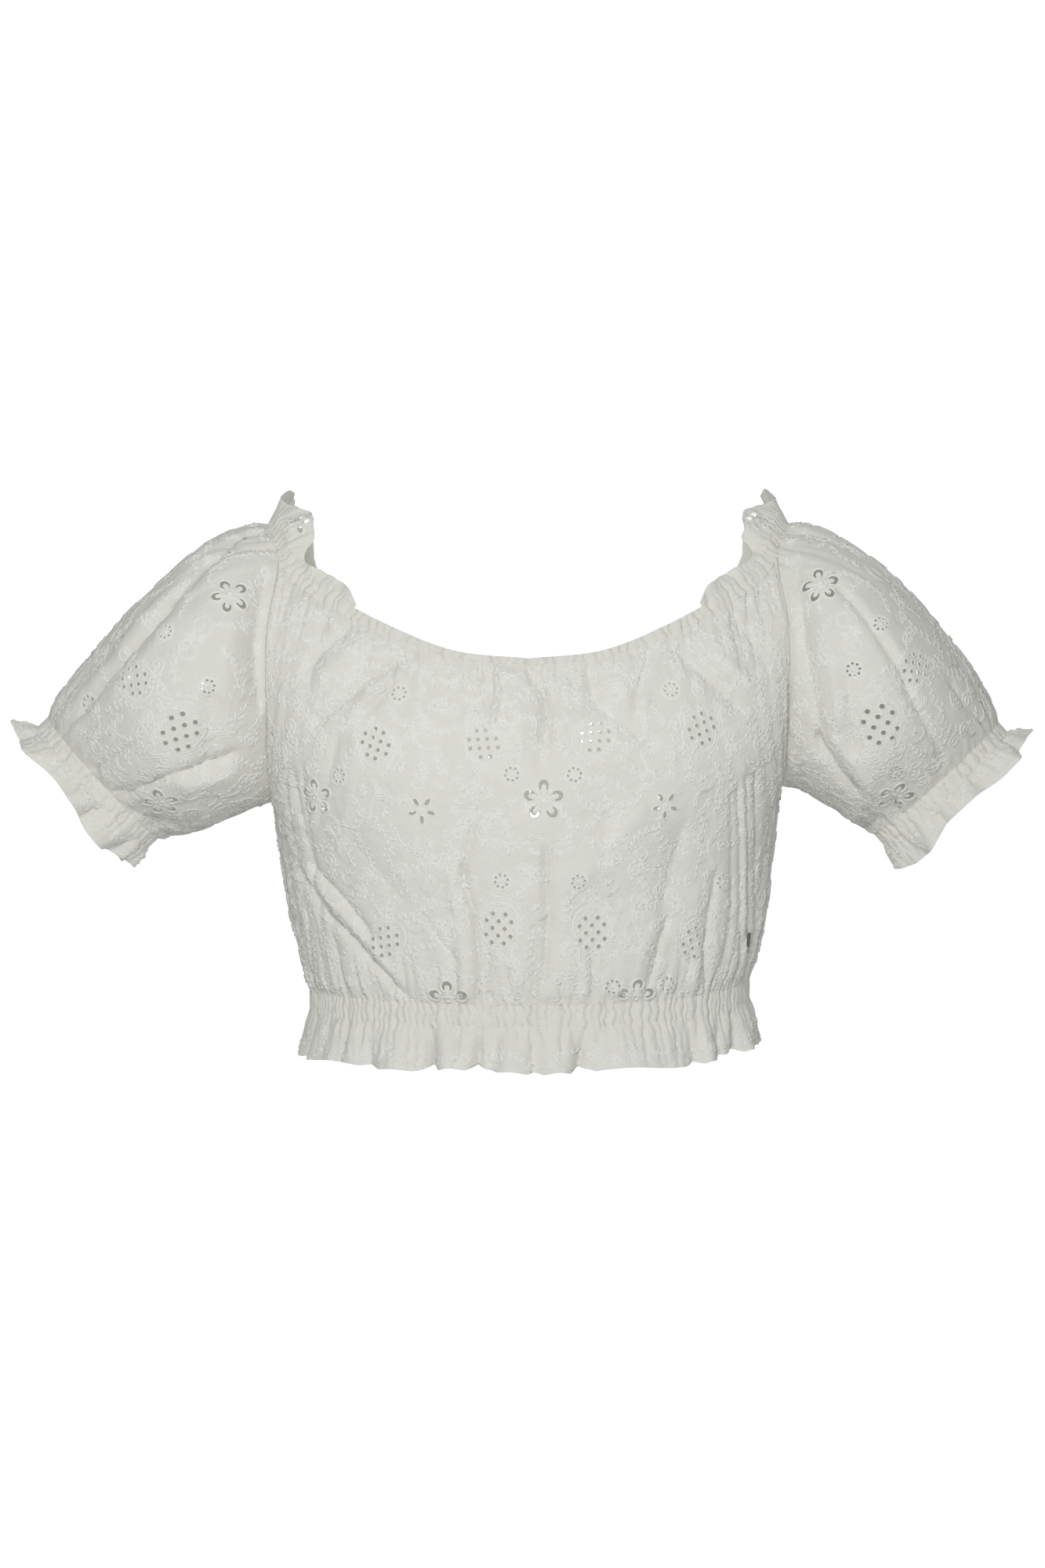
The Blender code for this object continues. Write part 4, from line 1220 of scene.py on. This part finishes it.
def apply_modifiers(piece):
    """Keep the mesh as its modifiers leave it."""
    graph = bpy.context.evaluated_depsgraph_get()
    mesh = bpy.data.meshes.new_from_object(piece.evaluated_get(graph))
    piece.modifiers.clear()
    old = piece.data
    piece.data = mesh
    bpy.data.meshes.remove(old)


def make_sheet(sheet, material, welded=False):
    """Make a sheet of cloth with its holes, and give it a wall."""
    flat, triangles = cut_out(sheet)
    piece = new_object(sheet.name, sheet.lay(flat), triangles, material, flat)
    if welded:
        weld(piece, 0.02 * MM)
    wall = piece.modifiers.new("wall", "SOLIDIFY")
    wall.thickness = CLOTH_WALL * MM
    wall.offset = 0
    apply_modifiers(piece)
    piece.data.set_sharp_from_angle(angle=SHARP_ANGLE)
    return piece


RIBBON_ACROSS = np.array([-1.0, 0.0, 1.0])
RIBBON_RISE = np.array([-0.25, 1.1, -0.25])


def make_embroidery(sheet, name, material):
    """Make a sheet's raised stitching as one mesh that follows its cloth."""
    flats = []
    heights = []
    faces = []
    start = 0
    for ribbon in sheet.ribbons:
        points = np.asarray(ribbon.points, float)
        widths = np.broadcast_to(ribbon.widths, len(points))
        if ribbon.closed:
            slope = np.roll(points, -1, axis=0) - np.roll(points, 1, axis=0)
        else:
            slope = np.gradient(points, axis=0)
        aside = unit(np.stack((-slope[:, 1], slope[:, 0]), axis=1))
        spread = RIBBON_ACROSS[None, :, None] * (widths / 2)[:, None, None] * aside[:, None]
        flat = (points[:, None] + spread).reshape(-1, 2)
        inside = (flat > 0.3).all() and (flat < (sheet.width - 0.3, sheet.height - 0.3)).all()
        if not inside:
            continue
        count = len(points)
        strands = len(RIBBON_ACROSS)
        index = start + np.arange(count * strands).reshape(count, strands)
        after = np.roll(index, -1, axis=0)
        if not ribbon.closed:
            index, after = index[:-1], after[:-1]
        quads = np.stack((after[:, :-1], after[:, 1:], index[:, 1:], index[:, :-1]), axis=-1)
        faces.append(quads.reshape(-1, 4))
        flats.append(flat)
        heights.append(np.tile(RIBBON_RISE * ribbon.height, count))
        start += count * strands
    if not flats:
        return None
    flat = np.concatenate(flats)
    points, _, _, normal = sheet.frame_at(flat, 0.8)
    lift = 1.75 * np.concatenate(heights) + CLOTH_WALL / 2
    return new_object(name, points + normal * lift[:, None], np.concatenate(faces), material, flat)


def node_maker(material):
    """Return a helper that adds shader nodes and links to a material."""
    tree = material.node_tree

    def add(kind, inputs=None, **settings):
        node = tree.nodes.new(kind)
        for key, value in settings.items():
            setattr(node, key, value)
        for key, value in (inputs or {}).items():
            if isinstance(value, bpy.types.NodeSocket):
                tree.links.new(value, node.inputs[key])
            else:
                node.inputs[key].default_value = value
        return node

    return add


def cotton_material(name, colour, shade, weave=0.35, crinkle=1.0):
    """Make white cotton: woven threads, soft crinkles and faint slubs."""
    material = bpy.data.materials.new(name)
    material.use_nodes = True
    shader = material.node_tree.nodes["Principled BSDF"]
    add = node_maker(material)
    uv = add("ShaderNodeUVMap", uv_map="Cloth")
    threads = []
    for direction in ("X", "Y"):
        wave = add(
            "ShaderNodeTexWave",
            {"Vector": uv.outputs["UV"], "Scale": 55.0, "Distortion": 0.6, "Detail": 1.0, "Detail Scale": 3.0},
            bands_direction=direction,
        )
        threads.append(wave.outputs["Fac"])
    woven = add("ShaderNodeMath", {0: threads[0], 1: threads[1]}, operation="MAXIMUM")
    slub = add("ShaderNodeTexNoise", {"Vector": uv.outputs["UV"], "Scale": 42.0, "Detail": 3.0, "Roughness": 0.6})
    soft = add("ShaderNodeTexNoise", {"Vector": uv.outputs["UV"], "Scale": 9.0, "Detail": 4.0, "Roughness": 0.55})
    tint = add(
        "ShaderNodeMixRGB",
        {"Fac": slub.outputs["Fac"], "Color1": shade, "Color2": colour},
    )
    material.node_tree.links.new(tint.outputs["Color"], shader.inputs["Base Color"])
    bump = add("ShaderNodeBump", {"Height": woven.outputs[0], "Strength": weave, "Distance": 0.00012})
    rough = add(
        "ShaderNodeBump",
        {"Height": slub.outputs["Fac"], "Strength": 0.5 * crinkle, "Distance": 0.0004, "Normal": bump.outputs["Normal"]},
    )
    crease = add(
        "ShaderNodeBump",
        {"Height": soft.outputs["Fac"], "Strength": 0.7 * crinkle, "Distance": 0.0022, "Normal": rough.outputs["Normal"]},
    )
    material.node_tree.links.new(crease.outputs["Normal"], shader.inputs["Normal"])
    shader.inputs["Roughness"].default_value = 0.85
    shader.inputs["Sheen Weight"].default_value = 0.12
    shader.inputs["Sheen Roughness"].default_value = 0.5
    shader.inputs["Specular IOR Level"].default_value = 0.25
    return material


def tag_material():
    """Make the side tag's dark grey woven ribbon."""
    material = bpy.data.materials.new("tag_ribbon")
    material.use_nodes = True
    shader = material.node_tree.nodes["Principled BSDF"]
    add = node_maker(material)
    place = add("ShaderNodeTexCoord")
    wave = add(
        "ShaderNodeTexWave",
        {"Vector": place.outputs["Object"], "Scale": 900.0, "Distortion": 0.4},
        bands_direction="Z",
    )
    tint = add(
        "ShaderNodeMixRGB",
        {"Fac": wave.outputs["Fac"], "Color1": (0.13, 0.13, 0.12, 1), "Color2": (0.2, 0.2, 0.185, 1)},
    )
    material.node_tree.links.new(tint.outputs["Color"], shader.inputs["Base Color"])
    bump = add("ShaderNodeBump", {"Height": wave.outputs["Fac"], "Strength": 0.4, "Distance": 0.0001})
    material.node_tree.links.new(bump.outputs["Normal"], shader.inputs["Normal"])
    shader.inputs["Roughness"].default_value = 0.8
    return material


def make_camera():
    """Place the camera that gives the photograph's view."""
    camera = bpy.data.objects.new("camera", bpy.data.cameras.new("camera"))
    bpy.context.scene.collection.objects.link(camera)
    camera.location = (
        (PHOTO_WIDTH / 2 - PHOTO_CENTRE_X) * PHOTO_MM * MM,
        -CAMERA_DISTANCE * MM,
        (PHOTO_NECK_Y - PHOTO_HEIGHT / 2) * PHOTO_MM * MM,
    )
    camera.rotation_euler = (math.radians(90), 0, 0)
    camera.data.sensor_fit = "VERTICAL"
    camera.data.sensor_height = SENSOR_MM
    camera.data.sensor_width = SENSOR_MM
    camera.data.lens = SENSOR_MM * (CAMERA_DISTANCE + REFERENCE_DEPTH) / (PHOTO_HEIGHT * PHOTO_MM)
    bpy.context.scene.camera = camera


def add_light(name, place, size, power, aim=(0.0, 0.0, -0.09)):
    """Add a soft square light that faces a point."""
    data = bpy.data.lights.new(name, "AREA")
    data.size = size
    data.energy = power
    light = bpy.data.objects.new(name, data)
    light.location = place
    light.rotation_euler = (Vector(aim) - Vector(place)).to_track_quat("-Z", "Y").to_euler()
    light.visible_camera = False
    bpy.context.scene.collection.objects.link(light)


FLOOR_DROP = 0.86
FLOOR_RADIUS = 720.0


def make_studio():
    """Make the plain pale floor and the soft studio light."""
    world = bpy.context.scene.world or bpy.data.worlds.new("studio")
    bpy.context.scene.world = world
    world.use_nodes = True
    background = world.node_tree.nodes["Background"]
    background.inputs["Color"].default_value = (1.0, 1.0, 1.0, 1)
    add = node_maker(world)
    ray = add("ShaderNodeLightPath")
    seen = add("ShaderNodeMath", {0: ray.outputs["Is Camera Ray"], 1: 0.64, 2: 0.38}, operation="MULTIPLY_ADD")
    world.node_tree.links.new(seen.outputs[0], background.inputs["Strength"])
    mesh = bpy.data.meshes.new("floor")
    corners = [(x * MM, y * MM, -FLOOR_DROP) for x, y in circle(0, 0, FLOOR_RADIUS, 96)]
    mesh.from_pydata(corners, [], [tuple(range(96))])
    floor = bpy.data.objects.new("floor", mesh)
    bpy.context.scene.collection.objects.link(floor)
    paper = bpy.data.materials.new("floor_paper")
    paper.use_nodes = True
    shader = paper.node_tree.nodes["Principled BSDF"]
    shader.inputs["Base Color"].default_value = (0.9, 0.9, 0.9, 1)
    shader.inputs["Roughness"].default_value = 0.9
    shader.inputs["Emission Color"].default_value = (1, 1, 1, 1)
    shader.inputs["Emission Strength"].default_value = 0.1
    mesh.materials.append(paper)
    add_light("key", (-0.16, -1.5, 0.32), 0.5, 10.6)
    add_light("fill", (0.9, -2.0, -0.4), 0.8, 2.0)
    add_light("back_fill", (0.6, 2.0, 0.9), 1.2, 16)
    for place, power in (((0, 0, -0.09), 0.085), ((-0.24, 0, -0.02), 0.03), ((0.24, 0, -0.02), 0.018)):
        data = bpy.data.lights.new("glow", "POINT")
        data.energy = power
        data.shadow_soft_size = 0.04
        glow = bpy.data.objects.new("glow", data)
        glow.location = place
        glow.visible_camera = False
        bpy.context.scene.collection.objects.link(glow)
    bpy.context.scene.view_settings.view_transform = "Standard"


def dress(sheet, cotton, stitched, welded=False):
    """Make a sheet and its stitching, and say what they ride on and replace."""
    sheet.clear_ribbons()
    piece = make_sheet(sheet, cotton, welded)
    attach(piece, "root")
    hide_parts(*sheet.nodes)
    stitching = make_embroidery(sheet, sheet.name + "_stitching", stitched)
    if stitching:
        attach(stitching, "root")


def main():
    """Build the top, its cloth, stitching, tag, light and camera."""
    make_camera()
    cotton = cotton_material("cotton_lawn", (0.79, 0.788, 0.74, 1), (0.73, 0.728, 0.675, 1))
    stitched = cotton_material("cotton_stitching", (0.87, 0.868, 0.835, 1), (0.82, 0.818, 0.785, 1), 0.6, 0.3)
    front = Sheet("front_cloth", front_shape, 440, 232, (1.6, 2.3), ("front",))
    back = Sheet("back_cloth", back_shape, 420, 230, (1.9, 2.6), ("back",))
    sleeves = {}
    for side, word in ((LEFT, "left"), (RIGHT, "right")):
        nodes = ("sleeve_" + word + "_front", "sleeve_" + word + "_back")
        sleeves[side] = Sheet("sleeve_" + word + "_cloth", sleeve_shape(side), 158, 440, (2.0, 2.0), nodes)
    for motif in FRONT_MOTIFS:
        front.place(motif.kind, front.find_pixel(motif.x, motif.y), motif.turn, motif.size)
    for side, sheet in sleeves.items():
        seen = (0.0, 0.55) if side == RIGHT else (0.45, 1.0)
        for motif in SLEEVE_MOTIFS[side]:
            sheet.place(motif.kind, sheet.find_pixel(motif.x, motif.y, seen), motif.turn, motif.size)
    for motif in BACK_MOTIFS:
        back.place(motif.kind, ((motif.across + 1) / 2 * back.width, motif.rise * back.height), motif.turn, motif.size)
    for side, sheet in sleeves.items():
        for motif in SLEEVE_BACK_MOTIFS:
            round_share = 0.5 + side * motif.rise / 360
            flat = (motif.across * sheet.width, round_share * sheet.height)
            sheet.place(motif.kind, flat, motif.turn, motif.size)
    for seed, sheet in enumerate((front, back, sleeves[LEFT], sleeves[RIGHT])):
        sheet.main_count = len(sheet.centres)
        sheet.fill(15.5 if sheet is back else 14.5, 3.0 + 10 * seed, 16.0)
        dress(sheet, cotton, stitched, sheet in sleeves.values())
    neck = Sheet("neck_band", neck_casing_point, 900, 10, (1.0, 2.0), ("neck_casing",))
    waist = Sheet("waist_band", waist_casing_point, 900, 14, (1.0, 2.0), ("waist_casing",))
    for sheet in (neck, waist):
        dress(sheet, cotton, stitched, True)
    hem = Sheet("hem_frill", hem_ruffle_point, 960, 33, (1.5, 2.2), ("hem_ruffle",))
    hem.line(0.07)
    hem.fill(17.0, 51.0, 12.0)
    dress(hem, cotton, stitched, True)
    for side, word in ((LEFT, "left"), (RIGHT, "right")):
        def heading(u, v, side=side):
            return heading_point(side, u if side == RIGHT else 1 - u, v)

        frill = Sheet("shoulder_frill_" + word, heading, 300, 14, (1.0, 1.0), ("neck_ruffle_" + word,))
        share = (HEADING_FLOWER_TURN - HEADING[0].turn) / (HEADING[-1].turn - HEADING[0].turn)
        for place in (share, 1 - share):
            frill.place("open", (place * frill.width, 0.5 * frill.height), 0, SMALL_FLOWER)
        frill.line(0.84)
        dress(frill, cotton, stitched)

        def casing(u, v, side=side):
            return cuff_casing_point(side, side * u, v)

        cuff = Sheet("cuff_band_" + word, casing, 260, 10, (0.8, 1.4), ("cuff_casing_" + word,))
        dress(cuff, cotton, stitched, True)

        def flounce(u, v, side=side):
            return cuff_ruffle_point(side, side * u, v)

        frill = Sheet("cuff_frill_" + word, flounce, 310, 21, (1.1, 1.4), ("cuff_ruffle_" + word,))
        frill.line(0.92)
        frill.fill(13.0, 61.0 + side, 10.0)
        dress(frill, cotton, stitched, True)

    bpy.data.objects["side_tag"].data.materials.clear()
    bpy.data.objects["side_tag"].data.materials.append(tag_material())
    make_studio()


main()
